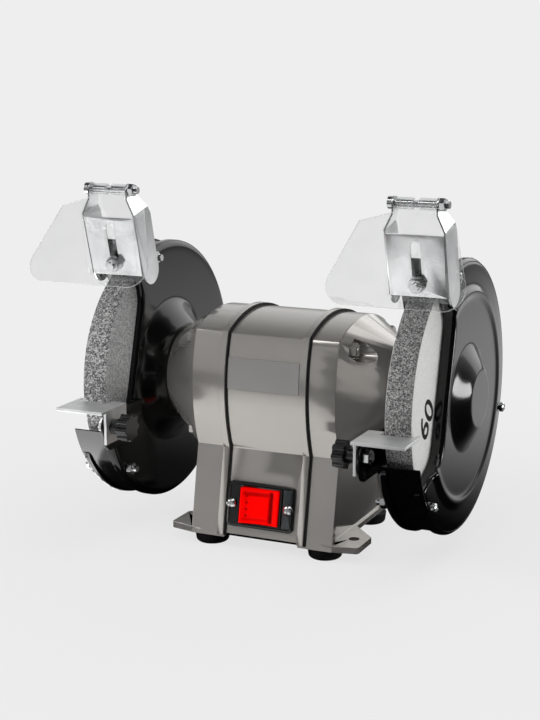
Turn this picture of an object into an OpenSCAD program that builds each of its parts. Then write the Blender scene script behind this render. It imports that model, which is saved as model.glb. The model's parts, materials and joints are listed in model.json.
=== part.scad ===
// Double-wheel electric bench grinder.
// Millimetres, +Z up. X runs along the motor shaft, the operator stands on the -Y side,
// and Z = 0 is the bench top. The origin is the middle of the machine's footprint.

/* [Overall] */
// Height of the shaft above the bench
shaft_h = 98; // [94:1:120]
// Distance from the middle of the machine to the middle of each wheel
wheel_x = 97.3; // [97.3:0.1:99]

/* [Motor body] */
// Height of the crown above the shaft
crown_h = 44.5; // [43:0.5:47]
// Radius of the crown arch
crown_r = 80.5; // [70:0.5:100]
// Half depth of the barrel at shaft height
barrel_y = 44.2; // [43:0.1:46]
// Radius of the barrel's front and back faces
barrel_r = 103; // [90:1:130]
// Depth of the waist crease below the shaft
waist_z = 36; // [34:0.5:40]
// Half depth of the pedestal at its bottom
pedestal_y = 48.5; // [46:0.5:52]
// Depth of the casting's bottom below the shaft
pedestal_z = 91; // [88:0.5:92]
// Half width of the centre housing
seam_x = 24.5; // [22:0.5:26]
// Wall thickness of the centre housing
housing_t = 2; // [1.5:0.1:3]
// Gap left under the centre housing
housing_lift = 2.5; // [1:0.5:4]

/* [End shields] */
// Distance from the middle to the outer edge of the end shield's band
band_x = 47; // [45:0.5:50]
// Wall thickness of the castings
cast_t = 4; // [3:0.5:5]
// Width of the raised bead along the seam
bead_w = 4.2; // [3:0.1:6]
// Height of the raised bead
bead_h = 1.8; // [1:0.1:2.5]
// Radius of the neck that carries the guard
neck_r = 27.5; // [26:0.5:30]
// Distance from the middle to the neck's end face
neck_x = 74; // [73:0.5:75]
// Distance from the middle to the pedestal's side wall
side_wall_x = 44.5; // [43:0.5:46]
// Reach of the lip along the foot of the side wall
side_lip = 1.5; // [0.5:0.1:2]
// Height of that lip
side_lip_h = 3.5; // [2:0.5:5]
// Tie bolt distance from the shaft, front to back
tie_y = 30; // [28:0.5:31]
// Tie bolt distance from the shaft, up and down
tie_z = 29; // [27:0.5:30]
// Tie bolt radius
tie_r = 2.5; // [2:0.5:3]
// Radius of the pockets over the tie bolt heads
pocket_r = 7; // [6:0.5:8]
// Distance from the middle to the pocket floors
pocket_x = 52; // [50:0.5:54]
// Ear thickness
ear_t = 4; // [3:0.5:5]
// Distance from the middle to the ear's outer edge
ear_x = 62.5; // [60:0.5:66]
// Distance between the two bench bolt holes
ear_pitch = 108; // [100:1:112]
// Bench bolt holes in front of the shaft
ear_hole_y = 30; // [24:1:34]
// Radius of a bench bolt hole
ear_hole_r = 3.25; // [2.25:0.25:3.5]

/* [Base] */
// Foot distance from the middle, sideways
foot_x = 38.1; // [36:0.1:39]
// Foot distance from the middle, front to back
foot_y = 36.8; // [35:0.1:38]
// Foot radius at the top
foot_r = 11; // [9:0.5:12]
// Base plate thickness
base_t = 1.5; // [1:0.1:2.5]

/* [Switch] */
// Bezel width
bezel_w = 44; // [42:0.5:46]
// Bezel height
bezel_h = 28; // [26:0.5:30]
// Bezel thickness in front of the housing
bezel_t = 2.4; // [2:0.1:4]
// Sideways place of the bezel's middle
bezel_x = -0.7; // [-2:0.1:2]
// Depth of the switch's centre below the shaft
switch_z = 69.5; // [68:0.5:71]
// Sideways place of the rocker's middle
rocker_x = -1.3; // [-4:0.1:0]
// Rocker width
rocker_w = 25.5; // [25:0.5:27]
// Rocker height
rocker_h = 21.5; // [20:0.5:23]
// Tilt of the rocker at rest
rocker_tilt = 7; // [5:0.5:9]
// Distance between the switch screws
switch_pitch = 37.8; // [36:0.1:38]

/* [Motor] */
// Radius of the stator core
stator_r = 38; // [36:0.5:39]
// Half length of the stator core
stator_x = 26; // [25:0.5:28]
// Radius of the rotor core
rotor_r = 20.5; // [18:0.5:24]
// Air gap between rotor and stator
air_gap = 0.5; // [0.3:0.1:1]
// Shaft radius in the rotor
shaft_r = 8.5; // [8:0.5:10]
// Shaft radius in the bearings
journal_r = 7.5; // [7:0.5:8]
// Bearing outside radius
bearing_r = 17.5; // [17:0.5:18]
// Bearing width
bearing_w = 11; // [10:0.5:12]
// Shaft radius where the wheels sit
spindle_r = 6.35; // [6:0.05:6.5]
// Distance from the middle to each end of the shaft
shaft_end = 118; // [116:0.5:119]
// Capacitor radius
cap_r = 14; // [12:0.5:15]

/* [Wheels] */
// Wheel radius
wheel_r = 75; // [70:1:75]
// Wheel thickness
wheel_w = 16; // [14:0.5:16]
// Radius of the clamping flanges
flange_r = 26; // [22:0.5:27]
// Blotter thickness
blotter_t = 0.8; // [0.5:0.1:1]

/* [Guards] */
// Outside of the guard pans beyond the wheel
guard_gap = 7.4; // [7.4:0.1:9]
// Sheet thickness of the pans
pan_t = 1.2; // [1:0.1:1.5]
// Distance from the middle to the inner pan's face
pan_x = 85; // [84:0.1:85]
// Distance from the middle to the outer cover's face
cover_x = 112.4; // [112:0.1:113]
// Depth of the inner pan's turned rim
pan_rim = 6; // [4:0.5:7]
// Depth of the outer cover's turned rim
cover_rim = 6.6; // [5:0.1:6.6]
// Height of the cover's raised middle
plateau_h = 1.5; // [1:0.1:1.5]
// Height of the hub boss on the cover
boss_h = 9.6; // [9:0.1:12]
// Radius of the hub boss at its foot
boss_r = 32; // [28:0.5:34]
// Sheet thickness of the band between the pans
band_t = 0.9; // [0.8:0.1:1.2]
// Distance of the guard screws in from the edge of the pans
guard_screw_edge = 4.8; // [4.6:0.1:5]
// Guard screw radius
guard_screw_r = 2; // [1.5:0.5:2]

/* [Tool rests] */
// Height of the rest's top below the shaft
rest_z = 6.5; // [5:0.5:10]
// Rest plate thickness
rest_t = 1.8; // [1.5:0.1:2]
// Rest plate depth, front to back
rest_depth = 28; // [26:0.5:32]
// Gap between the wheel's edge and the notch
rest_gap = 2.5; // [2:0.5:3]
// Depth of the notch that the wheel stands in
notch_d = 7; // [5:0.5:8]
// Depth of the rest's side flange
rest_flange_h = 19; // [17:0.5:22]
// Clamp bolt behind the front edge of the rest
clamp_back = 12; // [10.5:0.5:13.5]
// Clamp bolt below the shaft
clamp_z = 17.5; // [16:0.5:19]
// Clamp bolt radius
clamp_r = 2.5; // [2:0.5:3]
// Radius of the star knob over its lobes
knob_r = 8.3; // [7:0.1:9]
// Thickness of the star knob's head
knob_t = 6.7; // [5:0.1:8]

/* [Eye shields] */
// Forward lean of the shield bracket
bracket_lean = 14.5; // [10:0.5:18]
// Bracket bolt outside the edge of the guard
bracket_stand = 5.2; // [5:0.1:6]
// Angle of the bracket bolt above the front of the shaft
bracket_turn = 57.6; // [56:0.1:59]
// Bracket width
bracket_w = 36; // [36:0.5:38]
// Bracket sheet thickness
bracket_t = 1; // [0.8:0.1:1.2]
// Height of the bracket's front face above its bolt
bracket_top = 29; // [27:0.5:32]
// Depth of the bracket's side flanges
bracket_depth = 20; // [18:0.5:21]
// Hinge above the bracket bolt, along the bracket
hinge_v = 44.5; // [43:0.5:46]
// Hinge behind the bracket's face
hinge_w = 7.8; // [7:0.1:9]
// Hinge bolt radius
hinge_r = 2; // [1.5:0.5:2]
// Eye shield tilt from hanging straight down
shield_tilt = 30; // [24:1:40]
// Half width of the eye shield
shield_half = 40; // [36:0.5:42]
// Length of the eye shield below its hinge
shield_len = 62.5; // [58:0.5:66]
// Offset of the right eye shield's sheet from the middle of its hinge
shield_offset = -2.3; // [-2.5:0.1:2.5]
// Eye shield sheet thickness
shield_t = 1.6; // [1.2:0.1:2]

/* [Hidden] */
$fn = 96;

left = -1;
right = 1;
slack = 0.3;                // gap between pieces that move past each other
eps = 1;                    // overrun of every cut
reach = 200;                // longer than any piece

body_grey = [0.66, 0.65, 0.62];
guard_black = [0.08, 0.08, 0.09];
zinc = [0.78, 0.79, 0.80];
steel = [0.62, 0.63, 0.65];
rubber = [0.05, 0.05, 0.05];

// Body outline
barrel_c = barrel_r - barrel_y;
waist_y = sqrt(barrel_r^2 - waist_z^2) - barrel_c;
face_angle = atan2(pedestal_y - waist_y, pedestal_z - waist_z);
switch_y = waist_y + (switch_z - waist_z) * tan(face_angle);
side_inner_x = side_wall_x - cast_t;
shoulder_x = neck_x - cast_t;
bearing_seat_x = shoulder_x - bearing_w - 2;
foot_top = shaft_h - pedestal_z;
screw_boss_h = 16;
foot_screw_r = 2;
gland_r = 6;
gland_len = 18;
cord_hole_r = 3.3;
rocker_pivot_y = 3;
tie_boss_r = 5.5;
shoulder_step = 0.4;
neck_root_x = neck_x - 12;
fan_space_r = 29;
neck_screw_r = 2;
journal_x = bearing_seat_x + 0.9;
tie_head_h = 3.5;
plate_half = 23.5;
plate_low = 2.1;
plate_high = plate_low + 18.7;
plate_t = 0.4;
switch_box_half = 13.8;
switch_box_depth = 20;
cap_y = cap_r + 2;
cap_z = pedestal_z - 25;
cap_half = stator_x - 4;
cap_strap_t = 1.2;
cap_strap_half = 6;

// Bearings
ball_pcd_r = 12.5;
ball_r = 2;
race_gap = 2.1;

// Wheel stack
wheel_in = wheel_x - wheel_w / 2;
wheel_out = wheel_x + wheel_w / 2;
flange_t = 4;
washer_t = 0.8;
hub_r = 9;
nut_h = 7;
nut_r = 10.9;

// Guards. The openings' corners are shares of the pans' radius
pan_r = wheel_r + guard_gap;
guard_screw_pcd_r = pan_r - guard_screw_edge;
band_r = pan_r - pan_t - slack;
band_start = 122.5;
band_stop = 198;
dish_r = 30;
dish_rim_r = 44;
plateau_foot_r = pan_r - 20.4;
plateau_r = plateau_foot_r - 4;
boss_top_r = 18;
guard_screw_angles = [106, 222, 343];
cover_open = pan_r * [
    [-0.728, 1.092], [-0.291, 0.619], [-0.534, -0.328], [-0.643, -0.376], [-1.092, -0.564], [-1.456, 0]
];
pan_open = pan_r * [
    [-0.631, 1.068], [-0.413, 0.631], [-0.643, -0.194], [-0.801, -0.303], [-1.153, -0.303], [-1.456, 0]
];

// Tool rest
rest_front = wheel_r + rest_gap + rest_depth - notch_d;
rest_back = rest_front - rest_depth;
clamp_y = rest_front - clamp_back;
rest_x = 78.2;
rest_out_x = wheel_out + 4.5;
notch_side = 1.7;
arm_x = rest_x + rest_t + slack;
arm_t = 1.7;
arm_drop = 15;
arm_root = clamp_y + pan_open[2][0] + 5;
rest_slot_r = clamp_r + slack;
pin_gap = 0.07;             // running clearance of a pin in its hole
arm_end_r = 8.2;

// Bracket and eye shield
bracket_y = (pan_r + bracket_stand) * cos(bracket_turn);
bracket_z = (pan_r + bracket_stand) * sin(bracket_turn);
face_drop = 8;
slot_low = 2;
slot_high = 22;
slot_r = 2.8;
tab_top = 14.5;
tab_w = 15;
ear_in = 13.5;
knuckle_r = 3.4;
knuckle_in = 2;
knuckle_out = ear_in - bracket_t - slack;
corner_r = 12;

// The footprint runs from the rests' front edges to the backs of the guards
shaft_y = (rest_front - pan_r) / 2;

// Placing helpers
module at_shaft() translate([0, shaft_y, shaft_h]) children();
module on_side(side) at_shaft() mirror([side == left ? 1 : 0, 0, 0]) children();
module along_x(x0, x1) translate([x0, 0, 0]) rotate([90, 0, 90]) linear_extrude(x1 - x0) children();
module rod(x0, x1, r) translate([x0, 0, 0]) rotate([0, 90, 0]) cylinder(h = x1 - x0, r = r);
module about_x() rotate([0, 90, 0]) rotate([0, 0, 90]) rotate_extrude() children();
module hex_x(x0, x1, r) translate([x0, 0, 0]) rotate([0, 90, 0]) cylinder(h = x1 - x0, r = r, $fn = 6);
module box(low, high) translate(low) cube(high - low);
module mirrored_y() {
    children();
    mirror([0, 1, 0]) children();
}
module four_ties() for (y = [-tie_y, tie_y], z = [-tie_z, tie_z]) translate([0, y, z]) children();

// Outline of the motor body across the shaft, moved inwards by d
module barrel_outline(d) intersection() {
    translate([0, crown_h - crown_r]) circle(crown_r - d);
    translate([barrel_c, 0]) circle(barrel_r - d);
    translate([-barrel_c, 0]) circle(barrel_r - d);
    translate([-reach / 2, -waist_z]) square([reach, reach]);
}
module body_outline(d, low = 0) {
    barrel_outline(d);
    polygon([
        [-waist_y + d, -waist_z], [-pedestal_y + d + low * tan(face_angle), -pedestal_z + low],
        [pedestal_y - d - low * tan(face_angle), -pedestal_z + low], [waist_y - d, -waist_z]
    ]);
}

// End shields: a band, a taper to the neck, a pedestal with a mounting ear
module taper() hull() {
    along_x(band_x - 2, band_x) barrel_outline(shoulder_step);
    rod(neck_x - 1, neck_x, neck_r);
}
module ear_outline() polygon([
    [side_inner_x, -pedestal_y + 0.5], [band_x, -pedestal_y + 0.5], [ear_x - 1, -pedestal_y + 3.5],
    [ear_x, -pedestal_y + 5], [ear_x, -23], [side_inner_x, 0]
]);
module shield_shell() difference() {
    union() {
        difference() {
            along_x(seam_x, band_x) body_outline(0);
            along_x(side_wall_x, band_x + eps) pedestal_recess();
        }
        along_x(seam_x, seam_x + bead_w) body_outline(-bead_h, bead_h);
        taper();
    }
    along_x(seam_x - eps, side_inner_x) body_outline(cast_t, -eps);
    along_x(side_inner_x - eps, band_x - 1) barrel_outline(cast_t);
    rod(band_x - 2, bearing_seat_x, fan_space_r);
}
module end_shield(side) on_side(side) difference() {
    union() {
        shield_shell();
        translate([side_wall_x - eps, -pedestal_y + cast_t, -pedestal_z])
            cube([eps + side_lip, 2 * (pedestal_y - cast_t), side_lip_h]);
        four_ties() rod(stator_x, band_x, tie_boss_r);
        mirrored_y() translate([foot_x, foot_y, -pedestal_z + base_t]) cylinder(h = screw_boss_h, r = 5);
        translate([0, 0, -pedestal_z]) linear_extrude(ear_t) ear_outline();
    }
    four_ties() rod(stator_x - eps, reach, tie_r);
    four_ties() rod(pocket_x, reach, pocket_r);
    rod(bearing_seat_x - eps, shoulder_x, bearing_r);
    rod(0, reach, hub_r + 1.5);
    neck_screw_places() rod(neck_root_x, reach, neck_screw_r);
    translate([ear_pitch / 2, -ear_hole_y, -pedestal_z - eps]) cylinder(h = ear_t + 2 * eps, r = ear_hole_r);
    mirrored_y() translate([foot_x, foot_y, -pedestal_z - eps]) cylinder(h = 13, r = foot_screw_r);
}
// Side of the pedestal, inside its front and back rims
module pedestal_recess() polygon([
    [-waist_y + cast_t, -waist_z - 1.5], [-pedestal_y + cast_t, -pedestal_z - eps],
    [pedestal_y - cast_t, -pedestal_z - eps], [waist_y - cast_t, -waist_z - 1.5]
]);
module neck_screw_places() for (a = [30, 150, 270]) rotate([a, 0, 0]) translate([0, 0, 22.5]) children();

// Centre housing, its plate and the base
module motor_housing() color(body_grey) at_shaft() difference() {
    along_x(-seam_x, seam_x) body_outline(0, housing_lift);
    along_x(-seam_x - eps, seam_x + eps) body_outline(housing_t, -eps);
    switch_frame() box([rocker_x - switch_box_half - 0.2, -eps - bezel_t, -bezel_h / 2 + 2],
        [rocker_x + switch_box_half + 0.2, 6, bezel_h / 2 - 2]);
    switch_frame() switch_screw_places() rotate([-90, 0, 0]) cylinder(h = 12, r = 1.5);
    gland_frame() translate([0, 0, -eps]) cylinder(h = 2 * eps + housing_t, r = gland_r + 0.1);
}
module nameplate() color([0.5, 0.49, 0.47]) at_shaft() intersection() {
    along_x(-plate_half, plate_half) difference() {
        translate([barrel_c, 0]) circle(barrel_r + plate_t);
        translate([barrel_c, 0]) circle(barrel_r);
    }
    box([-reach, -reach, plate_low], [reach, 0, plate_high]);
}
module base_plate() color(guard_black) at_shaft() difference() {
    box([-side_inner_x, -pedestal_y + cast_t + slack, -pedestal_z],
        [side_inner_x, pedestal_y - cast_t - slack, -pedestal_z + base_t]);
    for (x = [-foot_x, foot_x], y = [-foot_y, foot_y])
        translate([x, y, -pedestal_z - eps]) cylinder(h = 2 * eps + base_t, r = foot_screw_r + 0.2);
    for (x = [-20:8:20]) box([x - 1.5, 18, -pedestal_z - eps], [x + 1.5, 36, -pedestal_z + base_t + eps]);
}
module foot_places() for (x = [-foot_x, foot_x], y = [-foot_y, foot_y])
    translate([x, y + shaft_y, 0]) children();
module rubber_feet() color(rubber) foot_places() difference() {
    rotate_extrude()
        polygon([[0, 0], [foot_r - 2, 0], [foot_r - 0.8, 1.2], [foot_r, foot_top], [0, foot_top]]);
    translate([0, 0, -eps]) cylinder(h = 3 + eps, r = 5);
    cylinder(h = foot_top + eps, r = foot_screw_r + 0.2);
}
module foot_screws() color(zinc) foot_places() {
    translate([0, 0, 1]) cylinder(h = 2, r = 4);
    translate([0, 0, 3]) cylinder(h = foot_top + 8, r = foot_screw_r);
}

// Motor
module tie_bolts() color(zinc) at_shaft() four_ties() {
    hex_x(-pocket_x - tie_head_h, -pocket_x, 4.6);
    rod(-pocket_x, pocket_x + tie_head_h + 1, tie_r - slack / 2);
    hex_x(pocket_x, pocket_x + tie_head_h, 4.6);
}
module stator_core() color(steel) at_shaft() difference() {
    rod(-stator_x, stator_x, stator_r);
    rod(-stator_x - eps, stator_x + eps, rotor_r + air_gap);
}
module stator_windings() color([0.55, 0.27, 0.12]) for (side = [left, right]) on_side(side) difference() {
    rod(stator_x, stator_x + 10, stator_r - 4.6);
    rod(stator_x - eps, stator_x + 10 + eps, rotor_r + 3);
}
module rotor_core() color(steel) at_shaft() difference() {
    union() {
        rod(-stator_x, stator_x, rotor_r);
        rod(-stator_x - 5, stator_x + 5, rotor_r - 2);
    }
    rod(-reach, reach, shaft_r);
}
module motor_shaft() color(steel) at_shaft() {
    rod(-journal_x, journal_x, shaft_r);
    for (side = [-1, 1]) mirror([side < 0 ? 1 : 0, 0, 0]) {
        rod(journal_x, shoulder_x + 0.5, journal_r);
        rod(shoulder_x + 0.5, shaft_end, spindle_r);
    }
}
module bearing_ring(side, wall_gap, r_out, r_in) color(steel) on_side(side) difference() {
    rod(shoulder_x - wall_gap - bearing_w, shoulder_x - wall_gap, r_out);
    rod(0, reach, r_in);
}
module bearing_balls() color(steel) for (side = [left, right]) on_side(side) for (a = [0:45:315]) {
    wall_gap = side == left ? washer_t : 0;
    rotate([a, 0, 0]) translate([shoulder_x - wall_gap - bearing_w / 2, 0, ball_pcd_r]) sphere(r = ball_r);
}
module wave_washer() color(zinc) on_side(left) difference() {
    rod(shoulder_x - washer_t, shoulder_x, bearing_r - 0.5);
    rod(0, reach, bearing_r - 4);
}
module capacitor() color([0.8, 0.8, 0.78]) at_shaft() translate([0, cap_y, -cap_z])
    rod(-cap_half, cap_half, cap_r);
module capacitor_clamp() color(zinc) at_shaft() translate([0, cap_y, -cap_z]) difference() {
    strap_r = cap_r + cap_strap_t;
    union() {
        rod(-cap_strap_half, cap_strap_half, strap_r);
        box([-cap_strap_half, -strap_r, cap_z + base_t - pedestal_z], [cap_strap_half, strap_r, 0]);
    }
    rod(-reach, reach, cap_r);
    box([-reach, -cap_r, -reach], [reach, cap_r, 0]);
}
module terminal_block() color([0.9, 0.9, 0.86]) at_shaft() difference() {
    box([-15, -18, -pedestal_z + base_t], [15, -6, -pedestal_z + base_t + 11]);
    for (x = [-12:6:12]) translate([x, -12, -pedestal_z + base_t + 4]) cylinder(h = 10, r = 1.8);
}
// Cable gland at the back, square to the pedestal's face: +Z points out of it
module gland_frame() mirror([0, 1, 0]) switch_frame() rotate([90, 0, 0])
    translate([0, 0, -housing_t]) children();
module cable_gland() color(rubber) at_shaft() gland_frame() difference() {
    union() {
        translate([0, 0, -4]) cylinder(h = gland_len, r = gland_r);
        translate([0, 0, housing_t]) cylinder(h = 4, r = 9);
        translate([0, 0, -2]) cylinder(h = 2, r = 8);
    }
    translate([0, 0, -reach / 2]) cylinder(h = reach, r = cord_hole_r);
}

// Switch, in a frame that lies on the pedestal's sloping front: -Y points out of it
module switch_frame() translate([0, -switch_y, -switch_z]) rotate([-face_angle, 0, 0]) children();
module switch_body() color(guard_black) at_shaft() switch_frame() difference() {
    union() {
        box([bezel_x - bezel_w / 2, -bezel_t, -bezel_h / 2], [bezel_x + bezel_w / 2, 0, bezel_h / 2]);
        box([rocker_x - switch_box_half, 0, -bezel_h / 2 + 2.2],
                [rocker_x + switch_box_half, switch_box_depth, bezel_h / 2 - 2.2]);
    }
    box([rocker_x - rocker_w / 2 - slack, -reach, -rocker_h / 2 - slack],
        [rocker_x + rocker_w / 2 + slack, 9, rocker_h / 2 + slack]);
    switch_screw_places() rotate([-90, 0, 0]) cylinder(h = 3 * bezel_t, r = 1.5);
    rocker_pin(pin_gap);
}
module rocker_pin(gap) translate([rocker_x, rocker_pivot_y, -rocker_h / 2 - 0.8 - gap])
    cylinder(h = rocker_h + 1.6 + 2 * gap, r = 1.2 + gap);
module switch_screw_places() for (dx = [-0.5, 0.5])
    translate([bezel_x + dx * switch_pitch, -bezel_t - eps, 0]) children();
module switch_rocker() color([0.8, 0.05, 0.04]) at_shaft() switch_frame() {
    rocker_pin(0);
    translate([rocker_x, rocker_pivot_y, 0]) rotate([0, 0, rocker_tilt]) difference() {
        intersection() {
            translate([0, 10, -rocker_h / 2]) cylinder(h = rocker_h, r = 20);
            box([-rocker_w / 2 + 0.6, -7.4, -rocker_h / 2], [rocker_w / 2 - 0.6, 2.5, rocker_h / 2]);
        }
        translate([0, -33, -reach / 2]) cylinder(h = reach, r = 26.6);
    }
}
module switch_screws() color(zinc) at_shaft() switch_frame() switch_screw_places() rotate([-90, 0, 0]) {
    translate([0, 0, eps - 1.6]) cylinder(h = 1.6, r = 2.9);
    translate([0, 0, eps]) cylinder(h = bezel_t + 4, r = 1.4);
}

// Wheel stack
module wheel(side, shade) color(shade) on_side(side) difference() {
    rod(wheel_in, wheel_out, wheel_r);
    rod(0, reach, spindle_r + 0.15);
}
module inner_flange(side) color(steel) on_side(side) difference() {
    union() {
        rod(shoulder_x + 0.5, wheel_in - blotter_t, hub_r);
        rod(wheel_in - blotter_t - flange_t, wheel_in - blotter_t, flange_r);
    }
    rod(0, reach, spindle_r);
    difference() {
        rod(wheel_in - blotter_t - 1, reach, flange_r - 6);
        rod(0, reach, hub_r);
    }
}
module outer_flange(side) color(steel) on_side(side) difference() {
    rod(wheel_out + blotter_t, wheel_out + blotter_t + flange_t - 0.5, flange_r);
    rod(0, reach, spindle_r);
    difference() {
        rod(0, wheel_out + blotter_t + 1, flange_r - 6);
        rod(0, reach, hub_r);
    }
}
module blotters(side) color([0.75, 0.62, 0.4]) on_side(side) for (x = [wheel_in - blotter_t, wheel_out])
    difference() {
        rod(x, x + blotter_t, flange_r + 1);
        rod(0, reach, spindle_r + 0.15);
    }
module spindle_nut(side) color(zinc) on_side(side) difference() {
    hex_x(wheel_out + blotter_t + flange_t - 0.5, wheel_out + blotter_t + flange_t - 0.5 + nut_h, nut_r);
    rod(0, reach, spindle_r);
}

// Guards. A strip along each straight cut edge gives the pans their turned-in rim there
module edge_strips(path, t) for (i = [0:len(path) - 3]) {
    run = path[i + 1] - path[i];
    translate(path[i]) rotate(atan2(run[1], run[0])) translate([-t, -t]) square([norm(run) + 2 * t, 2 * t]);
}
module pan_outline(r, opening) difference() {
    circle(r);
    polygon(opening);
}
// Room inside a pan. The band slips through between the pan's rim and the straight edges' rims
module pan_cavity(r, opening) {
    difference() {
        pan_outline(r, opening);
        edge_strips(opening, pan_t);
    }
    difference() {
        circle(r);
        circle(band_r - band_t - slack);
    }
}
module guard_screw_places() for (a = guard_screw_angles)
    rotate([a, 0, 0]) translate([0, guard_screw_pcd_r, 0]) children();
module inner_guard(side) color(guard_black) on_side(side) {
    rim_end = wheel_in - 0.7;
    difference() {
        intersection() {
            about_x() polygon([[0, neck_x], [dish_r, neck_x], [dish_rim_r, pan_x], [pan_r, pan_x],
                [pan_r, rim_end], [0, rim_end]]);
            along_x(neck_x - eps, rim_end + eps) pan_outline(pan_r, pan_open);
        }
        intersection() {
            about_x() polygon([[0, neck_x + pan_t], [dish_r - 0.6, neck_x + pan_t],
                [dish_rim_r - 0.6, pan_x + pan_t], [pan_r - pan_t, pan_x + pan_t],
                [pan_r - pan_t, reach], [0, reach]]);
            along_x(neck_x, rim_end + eps) pan_cavity(pan_r - pan_t, pan_open);
        }
        rod(0, reach, hub_r + 3);
        neck_screw_places() rod(0, reach, neck_screw_r + 0.1);
        guard_screw_places() rod(0, reach, guard_screw_r);
    }
    along_x(rim_end, pan_x + pan_rim) difference() {
        pan_outline(pan_r, pan_open);
        circle(pan_r - pan_t);
    }
    rest_arm();
}
// Flat arm that carries the tool rest, on a pad that stands off the pan
module rest_arm() difference() {
    translate([0, -clamp_y, -clamp_z]) {
        rod(arm_x, arm_x + arm_t, arm_end_r);
        translate([0, 2, arm_end_r - arm_drop]) rod(arm_x, arm_x + arm_t, arm_end_r);
        box([arm_x, 0, -arm_drop], [arm_x + arm_t, arm_root, arm_end_r]);
        box([arm_x, arm_root - 6, -arm_drop], [pan_x + pan_t / 2, arm_root, arm_end_r]);
    }
    translate([0, -clamp_y, -clamp_z]) rod(0, reach, clamp_r + pin_gap);
}
module guard_band(side) color(guard_black) on_side(side) {
    along_x(pan_x + pan_t, cover_x - pan_t) difference() {
        circle(band_r);
        circle(band_r - band_t);
        polygon([[0, 0], for (a = [band_start, 160, band_stop]) reach * [cos(a), sin(a)]]);
    }
    bracket_frame() difference() {
        box([-tab_w / 2, bracket_t + slack, -face_drop + 0.4], [tab_w / 2, bracket_t + slack + 1.2, tab_top]);
        rotate([-90, 0, 0]) cylinder(h = reach, r = clamp_r);
    }
}
module outer_cover(side) color(guard_black) on_side(side) difference() {
    plateau_x = cover_x + plateau_h;
    boss_x = cover_x + boss_h;
    rim_x = cover_x - cover_rim;
    intersection() {
        about_x() polygon([[0, rim_x], [pan_r, rim_x], [pan_r, cover_x], [plateau_foot_r, cover_x],
            [plateau_r, plateau_x], [boss_r, plateau_x], [boss_top_r, boss_x], [0, boss_x]]);
        along_x(rim_x - eps, reach) pan_outline(pan_r, cover_open);
    }
    intersection() {
        about_x() polygon([[0, 0], [pan_r - pan_t, 0], [pan_r - pan_t, cover_x - pan_t],
            [plateau_foot_r - 0.6, cover_x - pan_t], [plateau_r - 0.6, plateau_x - pan_t],
            [boss_r - 0.8, plateau_x - pan_t], [boss_top_r - 0.8, boss_x - pan_t], [0, boss_x - pan_t]]);
        along_x(0, reach) pan_cavity(pan_r - pan_t, cover_open);
    }
    guard_screw_places() rod(0, reach, guard_screw_r);
}
module guard_screws(side) color(zinc) on_side(side) guard_screw_places() {
    rod(cover_x, cover_x + 1.8, 3.1);
    rod(pan_x - 6, cover_x, guard_screw_r);
    difference() {
        hex_x(pan_x - 3.2, pan_x, 3.9);
        rod(0, reach, guard_screw_r);
    }
}
module neck_screws(side) color(zinc) on_side(side) neck_screw_places() {
    rod(neck_x + pan_t, neck_x + pan_t + 2.6, 4);
    rod(shoulder_x - 4, neck_x + pan_t, neck_screw_r);
}

// Tool rest, clamp bolt and star knob
module tool_rest(side) color(zinc) on_side(side) difference() {
    union() {
        box([rest_x, -rest_front, -rest_z - rest_t], [rest_out_x, -rest_back, -rest_z]);
        box([rest_x, -rest_front + 4.5, -rest_z - rest_t - rest_flange_h],
            [rest_x + rest_t, -rest_back, -rest_z]);
    }
    box([wheel_in - notch_side, -wheel_r - rest_gap, -reach], [wheel_out + notch_side, 0, 0]);
    for (y = [-clamp_y - 1.5, -clamp_y + 8]) translate([0, y, -clamp_z]) rod(0, reach / 2, rest_slot_r);
    box([0, -clamp_y - 1.5, -clamp_z - rest_slot_r], [reach / 2, -clamp_y + 8, -clamp_z + rest_slot_r]);
}
module rest_bolt(side) color(zinc) on_side(side) translate([0, -clamp_y, -clamp_z]) {
    rod(rest_x - 10, arm_x + arm_t + 5, clamp_r);
    hex_x(arm_x + arm_t + slack, arm_x + arm_t + slack + 3.6, 4.6);
}
module rest_knob(side) color(rubber) on_side(side) translate([0, -clamp_y, -clamp_z]) difference() {
    hub_x = rest_x - slack - 5.9;
    union() {
        rod(hub_x, rest_x - slack, 4.5);
        rod(hub_x - knob_t, hub_x, knob_r - 1.4);
        for (a = [0:45:315])
            rotate([a, 0, 0]) translate([0, knob_r - 1.9, 0]) rod(hub_x - knob_t, hub_x, 1.9);
    }
    rod(rest_x - 10 - slack, reach, clamp_r + pin_gap);
}

// Shield bracket: +Y runs back from its front face, +Z runs up along it
module bracket_frame() translate([wheel_x, -bracket_y, bracket_z]) rotate([bracket_lean, 0, 0])
    children();
module shield_bracket(side) color(zinc) on_side(side) bracket_frame() difference() {
    union() {
        box([-bracket_w / 2, 0, -face_drop], [bracket_w / 2, bracket_t, bracket_top]);
        intersection() {
            for (m = [0, 1]) mirror([m, 0, 0]) rotate([90, 0, 0]) mirror([0, 0, 1])
                linear_extrude(bracket_depth) bracket_side_section();
            along_x(-bracket_w, bracket_w) bracket_side_outline();
        }
    }
    box([-slot_r, -eps, -slot_low], [slot_r, bracket_t + eps, slot_high]);
    for (v = [-slot_low, slot_high])
        translate([0, -eps, v]) rotate([-90, 0, 0]) cylinder(h = bracket_t + 2 * eps, r = slot_r);
    translate([0, hinge_w, hinge_v]) rod(-reach, reach, hinge_r);
}
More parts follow.
